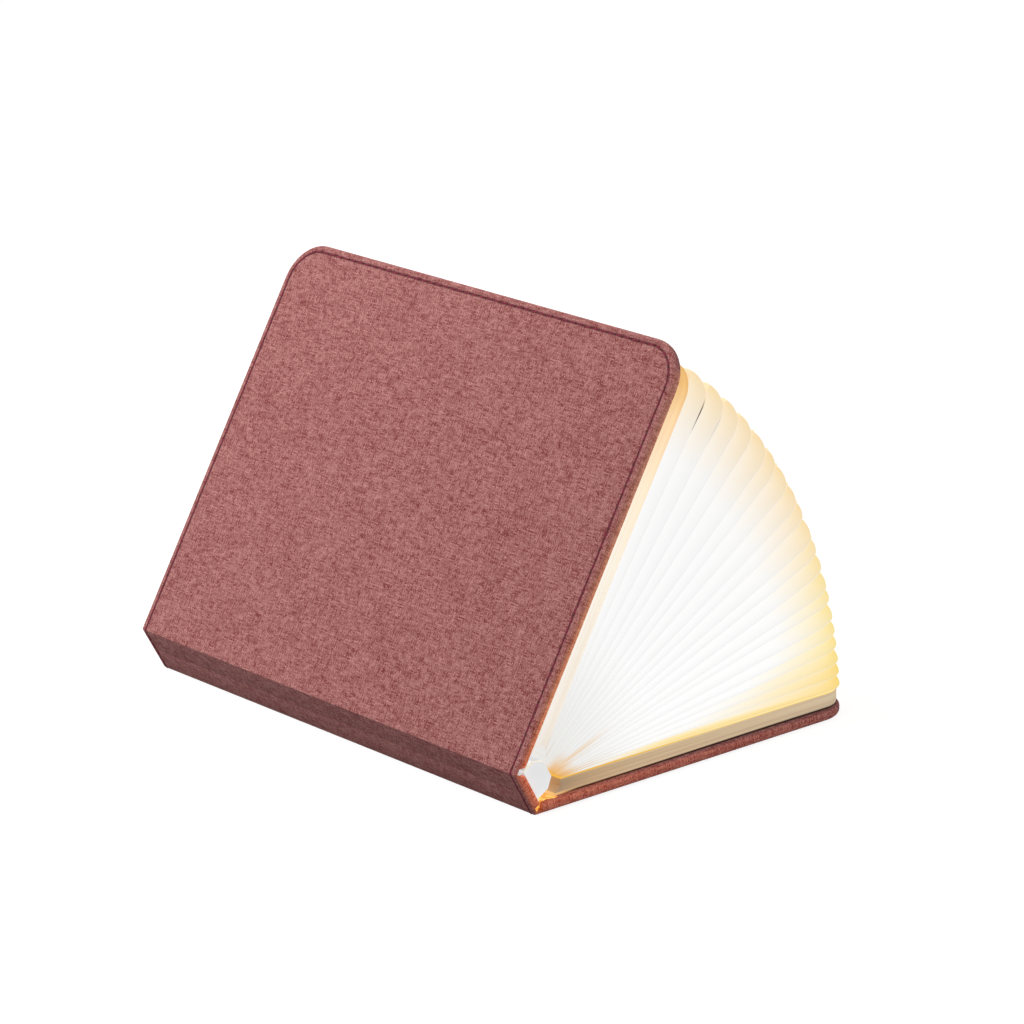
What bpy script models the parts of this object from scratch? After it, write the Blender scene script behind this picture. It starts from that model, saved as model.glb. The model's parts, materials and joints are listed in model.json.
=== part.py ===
"""Folding book lamp: two cloth-bound covers, a spine with a light core, and a fan of paper page loops.

Every length is in metres and +Z is up. The lamp stands half open on its back cover.
X runs along the spine, and the fore-edge of the back cover points along +Y.
Each cover, the spine and each page loop hangs on an empty that sits on the axis it turns about.
"""

import math

import bmesh
import bpy
from mathutils import Matrix

MM = 0.001

# Whole book
cover_length = 215 * MM
cover_depth = 163.5 * MM
closed_thickness = 22 * MM
opening_deg = 60

# Clearances
fit_gap = 0.3 * MM
cut_overrun = 2 * MM

# Covers: cloth skin, grey board and lining
cover_thickness = 4 * MM
skin_wall = 0.9 * MM
corner_radius = 16 * MM
edge_round = 1.5 * MM
turn_in = 9 * MM
hinge_setback = 2.7 * MM
hinge_cloth_wall = 0.9 * MM
hinge_lining_wall = 0.5 * MM
hinge_lining_dip = 0.7 * MM

# Closing magnets at the fore-edge and the small one that the lid sensor feels
magnet_radius = 5 * MM
magnet_side_inset = 20 * MM
magnet_edge_inset = 12 * MM
trigger_radius = 2.5 * MM
trigger_reach = 7.5 * MM

# Light core on the spine
core_width = 13.4 * MM
core_height = 9.4 * MM
core_side_height = 5.8 * MM
core_crown_width = 7.4 * MM
core_wall = 1 * MM
core_end_inset = 1.8 * MM
cap_thickness = 1.6 * MM
cap_round = 0.4 * MM
led_board_thickness = 0.8 * MM
led_chip_side = 2.8 * MM
led_chip_height = 0.7 * MM
led_chip_sink = 0.2 * MM
led_pitch = 15 * MM
led_end_inset = 9 * MM
battery_length = 92 * MM
control_board_length = 44 * MM
control_board_thickness = 1 * MM
sensor_length = 4 * MM
sensor_width = 1.6 * MM
sensor_height = 1.5 * MM
sensor_setback = 16 * MM
socket_width = 7.6 * MM
socket_height = 2.8 * MM
socket_length = 5.8 * MM
socket_wall = 0.4 * MM
socket_round = 1 * MM
charge_light_radius = 0.75 * MM
charge_light_length = 3.4 * MM

# Pages: two pressed blocks and a fan of loops between them
back_block_thickness = 6 * MM
front_block_thickness = 6 * MM
block_clearance = 0.4 * MM
block_edge_inset = 2 * MM
page_end_inset = 2.2 * MM
front_block_end_inset = 1.2 * MM
front_block_edge_inset = 5 * MM
page_corner_radius = 12 * MM
page_start = 12.6 * MM
page_edge_inset = 2.4 * MM
page_draw_in = 5 * MM
page_gap = 0.2 * MM
page_sheet = 0.22 * MM
page_slit = 0.15 * MM
page_loops = 20
page_crowding_share = 5 / 12
page_bulge_share = 0.4

# Facets of round shapes
corner_steps = 6
edge_steps = 2
round_steps = 16
pipe_steps = 8
bulge_steps = 6

# Worked out from the sizes above
opening = math.radians(opening_deg)
spine_lean = opening / 2
crease_turn = math.pi / 2 - spine_lean
half_length = cover_length / 2
half_cover = cover_thickness / 2
pivot_spacing = closed_thickness - cover_thickness
cover_reach = cover_depth - half_cover
board_half = half_cover - skin_wall - fit_gap
lining_low = half_cover - skin_wall
core_low = half_cover + fit_gap
core_half = half_length - core_end_inset
core_body_half = core_half - cap_thickness - fit_gap
core_floor = core_low + core_wall + fit_gap
core_inner_half_width = core_width / 2 - core_wall - fit_gap
led_board_high = core_low + core_side_height - fit_gap
led_board_low = led_board_high - led_board_thickness
spine_middle = -pivot_spacing / 2
page_half = half_length - page_end_inset
base_back = -pivot_spacing * math.sin(spine_lean) - half_cover
base_shift = -(base_back + cover_reach) / 2

finishes = {
    "cover_cloth": ((0.38, 0.11, 0.11), 0.85, 0.0),
    "cover_board": ((0.42, 0.38, 0.32), 0.9, 0.0),
    "lining_paper": ((0.86, 0.84, 0.79), 0.8, 0.0),
    "page_block": ((0.56, 0.37, 0.22), 0.8, 0.0),
    "page_paper": ((0.95, 0.9, 0.78), 0.7, 0.0),
    "core_shell": ((0.75, 0.76, 0.78), 0.5, 0.0),
    "core_diffuser": ((0.95, 0.93, 0.88), 0.35, 0.0),
    "led_board": ((0.85, 0.85, 0.82), 0.4, 0.0),
    "circuit_board": ((0.03, 0.2, 0.08), 0.4, 0.0),
    "battery_wrap": ((0.05, 0.12, 0.3), 0.35, 0.0),
    "plated_metal": ((0.75, 0.75, 0.77), 0.25, 1.0),
    "sensor_plastic": ((0.03, 0.03, 0.03), 0.5, 0.0),
    "light_pipe": ((0.8, 0.85, 0.9), 0.1, 0.0),
}


def clear_scene():
    for thing in list(bpy.data.objects):
        bpy.data.objects.remove(thing, do_unlink=True)


def finish_of(name):
    """The named material, made once."""
    if name in bpy.data.materials:
        return bpy.data.materials[name]
    colour, roughness, metallic = finishes[name]
    made = bpy.data.materials.new(name)
    made.use_nodes = True
    shader = made.node_tree.nodes["Principled BSDF"]
    shader.inputs["Base Color"].default_value = (*colour, 1.0)
    shader.inputs["Roughness"].default_value = roughness
    shader.inputs["Metallic"].default_value = metallic
    return made


def frame_at(name, parent, y, z, turn, flip=0.0):
    """An empty on a turning axis: y and z place it, turn is about X and flip about its own Y."""
    frame = bpy.data.objects.new(name, None)
    bpy.context.scene.collection.objects.link(frame)
    frame.parent = parent
    frame.matrix_local = (
        Matrix.Translation((0, y, z)) @ Matrix.Rotation(turn, 4, "X") @ Matrix.Rotation(flip, 4, "Y")
    )
    return frame


def piece(name, shape, frame, finish):
    """Turn a bmesh into an object that hangs on a frame."""
    bmesh.ops.recalc_face_normals(shape, faces=shape.faces[:])
    mesh = bpy.data.meshes.new(name)
    shape.to_mesh(mesh)
    shape.free()
    made = bpy.data.objects.new(name, mesh)
    bpy.context.scene.collection.objects.link(made)
    made.parent = frame
    if finish:
        mesh.materials.append(finish_of(finish))
    return made


def stacked(rings):
    """A closed body through rings of equally many points, with a face on each end."""
    shape = bmesh.new()
    rows = [[shape.verts.new(point) for point in ring] for ring in rings]
    for low, high in zip(rows, rows[1:]):
        for i in range(len(low)):
            j = (i + 1) % len(low)
            shape.faces.new((low[i], low[j], high[j], high[i]))
    shape.faces.new(rows[0][::-1])
    shape.faces.new(rows[-1])
    return shape


def run_along_x(profile, x_low, x_high):
    """A profile of (y, z) points carried from x_low to x_high."""
    return stacked([[(x, y, z) for y, z in profile] for x in (x_low, x_high)])


def arc(centre, radius, start, end, steps):
    """Points on an arc, both ends included."""
    cy, cz = centre
    turns = [start + (end - start) * i / steps for i in range(steps + 1)]
    return [(cy + radius * math.cos(turn), cz + radius * math.sin(turn)) for turn in turns]


def page_outline(half, y_low, y_high, radius):
    """Outline in X and Y of a leaf: square at the spine, round at both fore-edge corners."""
    right = arc((half - radius, y_high - radius), radius, 0, math.pi / 2, corner_steps)
    left = arc((radius - half, y_high - radius), radius, math.pi / 2, math.pi, corner_steps)
    return [(-half, y_low), (half, y_low), *right, *left]


def leaf_body(half, y_high, radius, levels):
    """A flat body whose levels each give a height, an inset of the outer edge and a start in Y."""
    rings = []
    for z, inset, y_low in levels:
        outline = page_outline(half - inset, y_low, y_high - inset, radius - inset)
        rings.append([(x, y, z) for x, y in outline])
    return stacked(rings)


def round_levels(z_low, z_high, radius, y_low):
    """Levels of a plate with quarter-round lower and upper edges."""
    turns = [math.pi / 2 * i / edge_steps for i in range(edge_steps + 1)]
    low = [(z_low + radius * (1 - math.cos(t)), radius * (1 - math.sin(t)), y_low) for t in turns]
    high = [(z_high - (z - z_low), inset, y_low) for z, inset, y_low in reversed(low)]
    return low + high


def flat_levels(z_low, z_high, y_low):
    return [(z_low, 0, y_low), (z_high, 0, y_low)]


def box_shape(x_low, x_high, y_low, y_high, z_low, z_high):
    corners = [(y_low, z_low), (y_high, z_low), (y_high, z_high), (y_low, z_high)]
    return run_along_x(corners, x_low, x_high)


def disc_shape(x, y, radius, z_low, z_high):
    rim = arc((x, y), radius, 0, 2 * math.pi, round_steps)[:-1]
    return stacked([[(px, py, z) for px, py in rim] for z in (z_low, z_high)])


def cut(target, name, shape, operation="DIFFERENCE"):
    """Boolean with a wire cutter that isn't part of the lamp."""
    tool = piece(name, shape, target.parent, None)
    tool.hide_render = True
    tool.display_type = "WIRE"
    change = target.modifiers.new(name, "BOOLEAN")
    change.operation = operation
    change.solver = "EXACT"
    change.object = tool


def magnet_places():
    """X and Y of the two closing magnets of a cover, head end first."""
    x = half_length - magnet_side_inset
    y = cover_reach - magnet_edge_inset
    return [("head", x, y), ("tail", -x, y)]


def make_cover_skin(side, frame):
    """Cloth outside and over three edges, turned in on the inside, open at the hinge for the board."""
    levels = round_levels(-half_cover, half_cover, edge_round, hinge_setback)
    shape = leaf_body(half_length, cover_reach, corner_radius, levels)
    skin = piece(side + "_cover_skin", shape, frame, "cover_cloth")
    start = hinge_setback - cut_overrun
    pocket = leaf_body(
        half_length - skin_wall,
        cover_reach - skin_wall,
        corner_radius - skin_wall,
        flat_levels(-board_half - fit_gap, board_half + fit_gap, start),
    )
    cut(skin, side + "_board_pocket", pocket)
    window = leaf_body(
        half_length - turn_in,
        cover_reach - turn_in,
        corner_radius - turn_in,
        flat_levels(0, half_cover + cut_overrun, start),
    )
    cut(skin, side + "_lining_window", window)


def make_cover_board(side, frame):
    """Grey board with a hole for each magnet."""
    inset = skin_wall + fit_gap
    levels = flat_levels(-board_half, board_half, hinge_setback)
    shape = leaf_body(half_length - inset, cover_reach - inset, corner_radius - inset, levels)
    board = piece(side + "_cover_board", shape, frame, "cover_board")
    holes = [(end, x, y, magnet_radius) for end, x, y in magnet_places()]
    if side == "back":
        holes.append(("trigger", *trigger_place(), trigger_radius))
    for end, x, y, radius in holes:
        depth = board_half + cut_overrun
        cut(board, f"{side}_{end}_magnet_hole", disc_shape(x, y, radius + fit_gap, -depth, depth))


def make_cover_lining(side, frame):
    """Paper lining that fills the window between the turned-in cloth."""
    inset = turn_in + fit_gap
    levels = flat_levels(lining_low, half_cover, hinge_setback)
    shape = leaf_body(half_length - inset, cover_reach - inset, corner_radius - inset, levels)
    piece(side + "_cover_lining", shape, frame, "lining_paper")


def make_magnets(side, frame):
    for end, x, y in magnet_places():
        shape = disc_shape(x, y, magnet_radius, -board_half, board_half)
        piece(f"{side}_magnet_{end}", shape, frame, "plated_metal")


def trigger_place():
    """The lid sensor's magnet lies under the sensor when the lamp is closed."""
    return -core_body_half + sensor_setback, trigger_reach


def make_trigger_magnet(frame):
    x, y = trigger_place()
    shape = disc_shape(x, y, trigger_radius, -board_half, board_half)
    piece("sensor_magnet", shape, frame, "plated_metal")


def make_page_block(side, frame, thickness, end_inset, edge_inset):
    """Pressed paper on the inside of a cover, its spine end sloped to clear the core as it turns."""
    low = half_cover + fit_gap
    slope_width = (core_width - core_crown_width) / 2
    start_low = core_low + core_side_height + block_clearance
    start_high = core_low + core_height + block_clearance
    slope_high = min(slope_width, thickness)
    start_top = start_low + (start_high - start_low) * slope_high / slope_width
    levels = [(low, 0, start_low), (low + slope_high, 0, start_top)]
    if thickness > slope_width:
        levels.append((low + thickness, 0, start_high))
    reach = cover_reach - edge_inset
    shape = leaf_body(half_length - end_inset, reach, page_corner_radius, levels)
    piece(side + "_page_block", shape, frame, "page_block")


def make_cover(side, frame, block_thickness, end_inset, edge_inset):
    make_cover_skin(side, frame)
    make_cover_board(side, frame)
    make_cover_lining(side, frame)
    make_magnets(side, frame)
    make_page_block(side, frame, block_thickness, end_inset, edge_inset)


def spine_span():
    """Start and end in Y of the stiff part of the spine."""
    return -pivot_spacing + hinge_setback, -hinge_setback


def make_spine_skin(frame):
    """Cloth outside and round both ends of the spine, open along both hinges."""
    y_low, y_high = spine_span()
    inner_x = half_length - edge_round
    inner_z = half_cover - edge_round
    corners = [(inner_x, inner_z), (-inner_x, inner_z), (-inner_x, -inner_z), (inner_x, -inner_z)]
    rim = []
    for quarter, corner in enumerate(corners):
        start = quarter * math.pi / 2
        rim += arc(corner, edge_round, start, start + math.pi / 2, edge_steps)
    shape = stacked([[(x, y, z) for x, z in rim] for y in (y_low, y_high)])
    skin = piece("spine_skin", shape, frame, "cover_cloth")
    y_ends = (y_low - cut_overrun, y_high + cut_overrun)
    pocket_x = half_length - skin_wall
    pocket_z = board_half + fit_gap
    cut(skin, "spine_board_pocket", box_shape(-pocket_x, pocket_x, *y_ends, -pocket_z, pocket_z))
    window_x = half_length - turn_in
    cut(skin, "spine_lining_window", box_shape(-window_x, window_x, *y_ends, 0, cover_thickness))


def make_spine_board(frame):
    half = half_length - skin_wall - fit_gap
    shape = box_shape(-half, half, *spine_span(), -board_half, board_half)
    piece("spine_board", shape, frame, "cover_board")


def make_spine_lining(frame):
    half = half_length - turn_in - fit_gap
    shape = box_shape(-half, half, *spine_span(), lining_low, half_cover)
    piece("spine_lining", shape, frame, "lining_paper")


def crease_strip(centre, side, radii, path_end):
    """Profile of a strip that bends round a crease, as outer and inner offsets of one path."""
    far = (side * math.cos(crease_turn), math.sin(crease_turn))
    outer_turns = [i / corner_steps * crease_turn for i in range(corner_steps + 1)]
    profile = []
    for radius, points in zip(radii, (outer_turns, outer_turns[::-1])):
        bend = [(side * radius * math.sin(t), -radius * math.cos(t)) for t in points]
        near_end = (-side * path_end, -radius)
        tip = (side * radius * math.sin(crease_turn), -radius * math.cos(crease_turn))
        far_end = (tip[0] + far[0] * path_end, tip[1] + far[1] * path_end)
        row = [near_end, *bend, far_end] if points is outer_turns else [far_end, *bend, near_end]
        profile += row
    return [(centre + y, z) for y, z in profile]


def make_hinge_cloth(name, centre, side, frame):
    """The cover cloth where it bends round a crease, outside."""
    radii = (half_cover, half_cover - hinge_cloth_wall)
    profile = crease_strip(centre, side, radii, hinge_setback - fit_gap)
    piece(name, run_along_x(profile, -half_length, half_length), frame, "cover_cloth")


def make_hinge_lining(name, centre, side, frame):
    """The paper strip that closes a crease on the inside, dipped between the board ends."""
    reach = hinge_setback - fit_gap
    high = half_cover - hinge_lining_dip
    half_turn = crease_turn / 2
    sides = []
    for rise in (high - hinge_lining_wall, high):
        bend = rise / math.cos(half_turn)
        knee = (-bend * math.sin(half_turn), bend * math.cos(half_turn))
        tip_y = reach * math.cos(crease_turn) - rise * math.sin(crease_turn)
        tip_z = reach * math.sin(crease_turn) + rise * math.cos(crease_turn)
        sides.append([(-reach, rise), knee, (tip_y, tip_z)])
    row = sides[0] + sides[1][::-1]
    half = half_length - turn_in - fit_gap
    piece(name, run_along_x([(centre + side * y, z) for y, z in row], -half, half), frame, "lining_paper")


def house_profile(inset=0.0):
    """Section of the core: upright sides, sloped shoulders and a flat crown."""
    side = core_width / 2 - inset
    crown = core_crown_width / 2
    low = core_low + inset
    shoulder = core_low + core_side_height
    high = core_low + core_height - inset
    right = [(side, low), (side, shoulder), (crown, high)]
    return [(spine_middle + y, z) for y, z in right + [(-y, z) for y, z in reversed(right)]]


def make_core_housing(frame):
    """Tray of the core: a floor and two upright sides, open at both ends."""
    outer = core_width / 2
    inner = outer - core_wall
    high = core_low + core_side_height
    floor = core_low + core_wall
    right = [(outer, core_low), (outer, high), (inner, high), (inner, floor)]
    profile = [(spine_middle + y, z) for y, z in right + [(-y, z) for y, z in reversed(right)]]
    piece("core_housing", run_along_x(profile, -core_body_half, core_body_half), frame, "core_shell")


def make_core_diffuser(frame):
    """Translucent roof of the core, resting on the tray's sides."""
    outer = core_width / 2
    crown = core_crown_width / 2
    low = core_low + core_side_height + fit_gap
    high = core_low + core_height
    drop = core_wall
    right = [(outer, low), (crown, high)]
    inside = [(crown - drop / 2, high - drop), (outer - drop - drop / 2, low)]
    profile = right + [(-y, z) for y, z in reversed(right)]
    profile += [(-y, z) for y, z in reversed(inside)] + inside
    profile = [(spine_middle + y, z) for y, z in profile]
    piece("core_diffuser", run_along_x(profile, -core_body_half, core_body_half), frame, "core_diffuser")


def make_core_caps(frame):
    """End caps of the core; the tail one has the socket's slot and the charge light's hole."""
    inner = core_body_half + fit_gap
    levels = [(inner, 0.0), (core_half - cap_round, 0.0), (core_half, cap_round)]
    for name, sign in (("core_cap_head", 1), ("core_cap_tail", -1)):
        rings = [[(sign * x, y, z) for y, z in house_profile(inset)] for x, inset in levels]
        cap = piece(name, stacked(rings), frame, "core_shell")
        if sign < 0:
            slot = socket_shape(-core_half - cut_overrun, -inner + cut_overrun, fit_gap)
            cut(cap, "socket_slot", slot)
            hole = pipe_shape(-core_half - cut_overrun, -inner + cut_overrun, fit_gap)
            cut(cap, "charge_light_hole", hole)


def socket_centre():
    """Y and Z of the charging socket, which stands on the control board."""
    high = core_floor + control_board_thickness + fit_gap
    return spine_middle, high + socket_height / 2


def socket_shape(x_low, x_high, grow):
    """Flat rounded slot shape of the charging socket, made larger by grow."""
    y, z = socket_centre()
    radius = socket_round + grow
    half_wide = socket_width / 2 + grow - radius
    half_high = socket_height / 2 + grow - radius
    rim = []
    corners = [(1, 1), (-1, 1), (-1, -1), (1, -1)]
    for quarter, (side, up) in enumerate(corners):
        centre = (y + side * half_wide, z + up * half_high)
        start = quarter * math.pi / 2
        rim += arc(centre, radius, start, start + math.pi / 2, edge_steps)
    return run_along_x(rim, x_low, x_high)


def pipe_shape(x_low, x_high, grow):
    """The charge light's pipe above the socket."""
    y, z = socket_centre()
    z += socket_height / 2 + fit_gap + charge_light_radius
    rim = arc((y, z), charge_light_radius + grow, 0, 2 * math.pi, pipe_steps)[:-1]
    return run_along_x(rim, x_low, x_high)


def make_charging_parts(frame):
    """Socket with an open mouth towards the tail, and the light pipe above it."""
    socket = piece(
        "charging_socket",
        socket_shape(-core_half, -core_half + socket_length, 0),
        frame,
        "plated_metal",
    )
    mouth = socket_shape(-core_half - cut_overrun, -core_half + socket_length - socket_wall, -socket_wall)
    cut(socket, "socket_mouth", mouth)
    pipe = pipe_shape(-core_half, -core_half + charge_light_length, 0)
    piece("charge_light", pipe, frame, "light_pipe")


def make_control_board(frame):
    """Circuit board at the tail end of the core, with the lid sensor on it."""
    half = core_inner_half_width
    x_low = -core_body_half
    x_high = x_low + control_board_length
    high = core_floor + control_board_thickness
    board = box_shape(x_low, x_high, spine_middle - half, spine_middle + half, core_floor, high)
    piece("control_board", board, frame, "circuit_board")
    middle = x_low + sensor_setback
    near_back = spine_middle + half - sensor_width
    shape = box_shape(
        middle - sensor_length / 2,
        middle + sensor_length / 2,
        near_back,
        near_back + sensor_width,
        high + fit_gap,
        high + fit_gap + sensor_height,
    )
    piece("lid_sensor", shape, frame, "sensor_plastic")


def make_battery(frame):
    """Flat cell between the control board and the head end."""
    half = core_inner_half_width
    x_low = -core_body_half + control_board_length + fit_gap
    shape = box_shape(
        x_low,
        x_low + battery_length,
        spine_middle - half,
        spine_middle + half,
        core_floor,
        led_board_low - fit_gap,
    )
    piece("battery_cell", shape, frame, "battery_wrap")


def make_led_board(frame):
    """Strip of light chips over the battery, under the diffuser."""
    half = core_inner_half_width
    ends = (spine_middle - half, spine_middle + half)
    board = piece(
        "led_board",
        box_shape(socket_clear_x(), core_body_half, *ends, led_board_low, led_board_high),
        frame,
        "led_board",
    )
    first = socket_clear_x() + led_end_inset
    count = int((core_body_half - led_end_inset - first) / led_pitch) + 1
    for i in range(count):
        x = first + i * led_pitch
        chip = box_shape(
            x - led_chip_side / 2,
            x + led_chip_side / 2,
            spine_middle - led_chip_side / 2,
            spine_middle + led_chip_side / 2,
            led_board_high - led_chip_sink,
            led_board_high + led_chip_height,
        )
        cut(board, f"led_chip_{i + 1:02d}", chip, "UNION")


def socket_clear_x():
    """Where the strip of chips may start, past the charging socket and the light pipe."""
    return -core_half + max(socket_length, charge_light_length) + fit_gap


def make_core(frame):
    make_core_housing(frame)
    make_core_diffuser(frame)
    make_core_caps(frame)
    make_charging_parts(frame)
    make_control_board(frame)
    make_battery(frame)
    make_led_board(frame)


def page_share(k):
    """Share of the opening at the k-th seam between loops: the pages crowd towards the back cover."""
    place = k / page_loops
    return (1 - page_crowding_share) * place + page_crowding_share * place * place


def leaf_offset(share):
    """Distance of a leaf from its axis: above the back block at 0, below the front block at 1."""
    above_back = half_cover + fit_gap + back_block_thickness + page_gap
    below_front = half_cover + fit_gap + front_block_thickness + page_gap
    return above_back * (1 - share) - below_front * share


def leaf_point(share, along, shift):
    """Place of a point of a leaf in the spine's frame, seen from the head end."""
    turn = share * opening + crease_turn
    lift = leaf_offset(share) + shift
    y = -pivot_spacing * share + along * math.cos(turn) - lift * math.sin(turn)
    z = along * math.sin(turn) + lift * math.cos(turn)
    return y, z


def in_loop_frame(point, share):
    """The same point in the frame of a loop that turns about the axis of one of its leaves."""
    turn = share * opening + crease_turn
    y = point[0] + pivot_spacing * share
    z = point[1]
    return y * math.cos(turn) + z * math.sin(turn), z * math.cos(turn) - y * math.sin(turn)


def fold_arc(low, high, share):
    """Bulging fore-edge fold between the ends of two leaves."""
    turn = share * opening + crease_turn
    out = (math.cos(turn), math.sin(turn))
    points = []
    for i in range(1, bulge_steps):
        part = i / bulge_steps
        rise = 4 * part * (1 - part) * page_bulge_share * math.dist(low, high)
        y = low[0] + (high[0] - low[0]) * part + out[0] * rise
        z = low[1] + (high[1] - low[1]) * part + out[1] * rise
        points.append((y, z))
    return points


def leaf_end(share):
    """Length of a leaf: the ones by the front cover are drawn in a little."""
    return cover_reach - page_edge_inset - page_draw_in * share**2


def loop_profile(low_share, high_share, inset, start):
    """One skin of a loop's section, from the lower leaf round the fold to the upper leaf."""
    middle = (low_share + high_share) / 2
    shift = page_gap / 2 + inset
    low_start = leaf_point(low_share, start, shift)
    low_end = leaf_point(low_share, leaf_end(low_share), shift)
    high_end = leaf_point(high_share, leaf_end(high_share), -shift)
    high_start = leaf_point(high_share, start, -shift)
    return [low_start, low_end, *fold_arc(low_end, high_end, middle), high_end, high_start]


def hollow_start(low_share, high_share):
    """Where the two leaves of a loop are far enough apart to be separate sheets."""
    low = leaf_point(low_share, page_start, page_gap / 2)
    high = leaf_point(high_share, page_start, -page_gap / 2)
    room = math.dist(low, high)
    needed = 2 * page_sheet + page_slit
    spread = (high_share - low_share) * opening
    return page_start + page_sheet + max(0, needed - room) / spread


def loop_share(k):
    """The seam that leads loop k: its outer one, seen from the middle of the fan."""
    low, high = page_share(k - 1), page_share(k)
    return low if low + high < 1 else high


def make_page_loop(k, spine):
    """One loop of the fan: a folded sheet, open at head and tail, with round fore-edge corners."""
    low, high = page_share(k - 1), page_share(k)
    lead = loop_share(k)
    turn = lead * opening + crease_turn
    frame = frame_at(f"page_axis_{k:02d}", spine, -pivot_spacing * lead, 0, turn)
    outer = [in_loop_frame(p, lead) for p in loop_profile(low, high, 0, page_start)]
    inner_start = hollow_start(low, high)
    inner = [in_loop_frame(p, lead) for p in loop_profile(low, high, page_sheet, inner_start)]
    shape = bmesh.new()
    rows = {}
    for end, x in (("tail", -page_half), ("head", page_half)):
        for skin, profile in (("outer", outer), ("inner", inner)):
            rows[end, skin] = [shape.verts.new((x, y, z)) for y, z in profile]
    pairs = [
        (rows["tail", "outer"], rows["head", "outer"]),
        (rows["head", "inner"], rows["tail", "inner"]),
        (rows["head", "outer"], rows["head", "inner"]),
        (rows["tail", "inner"], rows["tail", "outer"]),
    ]
    for first, second in pairs:
        for i in range(len(outer)):
            j = (i + 1) % len(outer)
            shape.faces.new((first[i], first[j], second[j], second[i]))
    name = f"page_loop_{k:02d}"
    loop = piece(name, shape, frame, "page_paper")
    reach = max(y for y, z in outer)
    lowest = min(z for y, z in outer) - cut_overrun
    highest = max(z for y, z in outer) + cut_overrun
    levels = flat_levels(lowest, highest, page_start - cut_overrun)
    outline = leaf_body(page_half + page_gap, reach + page_gap, page_corner_radius, levels)
    cut(loop, name + "_outline", outline, "INTERSECT")


def main():
    clear_scene()
    back = frame_at("back_hinge_frame", None, base_shift, half_cover, 0)
    spine = frame_at("spine_frame", back, 0, 0, -crease_turn)
    front = frame_at("front_hinge_frame", spine, -pivot_spacing, 0, crease_turn + opening, math.pi)
    make_cover("back", back, back_block_thickness, page_end_inset, block_edge_inset)
    make_trigger_magnet(back)
    make_cover("front", front, front_block_thickness, front_block_end_inset, front_block_edge_inset)
    make_spine_skin(spine)
    make_spine_board(spine)
    make_spine_lining(spine)
    make_hinge_cloth("hinge_cloth_back", 0, 1, spine)
    make_hinge_cloth("hinge_cloth_front", -pivot_spacing, -1, spine)
    make_hinge_lining("hinge_lining_back", 0, 1, spine)
    make_hinge_lining("hinge_lining_front", -pivot_spacing, -1, spine)
    make_core(spine)
    for k in range(1, page_loops + 1):
        make_page_loop(k, spine)


main()
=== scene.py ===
"""Folding book lamp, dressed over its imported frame: melange cloth covers, a fan of lit paper and a core.

Lengths are in metres. X runs along the spine, the back cover points along +Y and lies on the floor.
The cloth and the crease linings are cut flat and then folded round the two spine axes. A point of the
flat work is (x, v, z): v runs from the spine's middle to the fore-edge, and z from outer to inner.
"""

import json
import math

import bpy
from mathutils import Matrix, Vector


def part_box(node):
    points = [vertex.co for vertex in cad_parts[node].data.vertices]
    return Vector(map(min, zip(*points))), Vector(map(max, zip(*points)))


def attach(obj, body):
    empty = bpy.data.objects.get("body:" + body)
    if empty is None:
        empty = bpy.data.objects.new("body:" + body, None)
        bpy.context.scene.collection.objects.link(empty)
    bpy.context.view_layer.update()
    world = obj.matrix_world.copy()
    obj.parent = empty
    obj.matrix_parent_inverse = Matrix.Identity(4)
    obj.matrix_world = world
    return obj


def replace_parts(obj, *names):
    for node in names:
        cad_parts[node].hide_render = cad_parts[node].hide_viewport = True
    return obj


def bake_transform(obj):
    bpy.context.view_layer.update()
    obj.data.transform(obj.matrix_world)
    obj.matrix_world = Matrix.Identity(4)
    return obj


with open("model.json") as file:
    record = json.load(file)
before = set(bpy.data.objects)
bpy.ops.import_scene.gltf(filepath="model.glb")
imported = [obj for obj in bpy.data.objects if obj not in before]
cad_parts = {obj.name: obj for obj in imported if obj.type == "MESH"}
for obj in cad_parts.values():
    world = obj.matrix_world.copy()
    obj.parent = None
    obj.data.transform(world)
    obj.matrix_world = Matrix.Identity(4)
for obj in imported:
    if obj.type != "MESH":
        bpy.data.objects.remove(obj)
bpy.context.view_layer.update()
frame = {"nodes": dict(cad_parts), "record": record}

bl_info = {
    "name": "Folding book lamp",
    "version": (1, 0, 0),
    "blender": (4, 5, 0),
    "location": "3D View > Sidebar > Book lamp",
    "description": "Builds the cloth, paper, core and studio of a folding book lamp",
    "category": "Object",
}

MM = 0.001
hinges = {joint["name"]: joint for joint in frame["record"]["behaviour"]["joints"]}
back_axis = Vector(hinges["back_hinge"]["pos_m"])
front_axis = Vector(hinges["front_hinge"]["pos_m"])
spine_up = (front_axis - back_axis).normalized()
spine_in = Vector((0, spine_up.z, -spine_up.y))
spine_middle = (front_axis + back_axis) / 2
axis_spacing = (front_axis - back_axis).length
half_spine = axis_spacing / 2
opening = 2 * math.atan2(-spine_up.y, spine_up.z)
crease_turn = math.pi / 2 - opening / 2
skin_low, skin_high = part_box("back_cover_skin")
half_cover = (skin_high[2] - skin_low[2]) / 2
half_length = skin_high[0]
cover_reach = skin_high[1] - back_axis.y
crease_arc = half_cover * crease_turn
cover_start = half_spine + crease_arc
flat_reach = cover_start + cover_reach
# Pages and core stand this far from the middle of the flat work, and less than a hair counts as nothing
fit_gap = 0.3 * MM
seat = half_cover + fit_gap
hair = 0.01 * MM


def length_value(name, description, size):
    return bpy.props.FloatProperty(name=name, description=description, default=size * MM, unit="LENGTH")


def share_value(name, description, default):
    return bpy.props.FloatProperty(name=name, description=description, default=default, subtype="FACTOR")


def colour_value(name, description, default):
    return bpy.props.FloatVectorProperty(
        name=name, description=description, default=default, subtype="COLOR", size=3
    )


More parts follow.
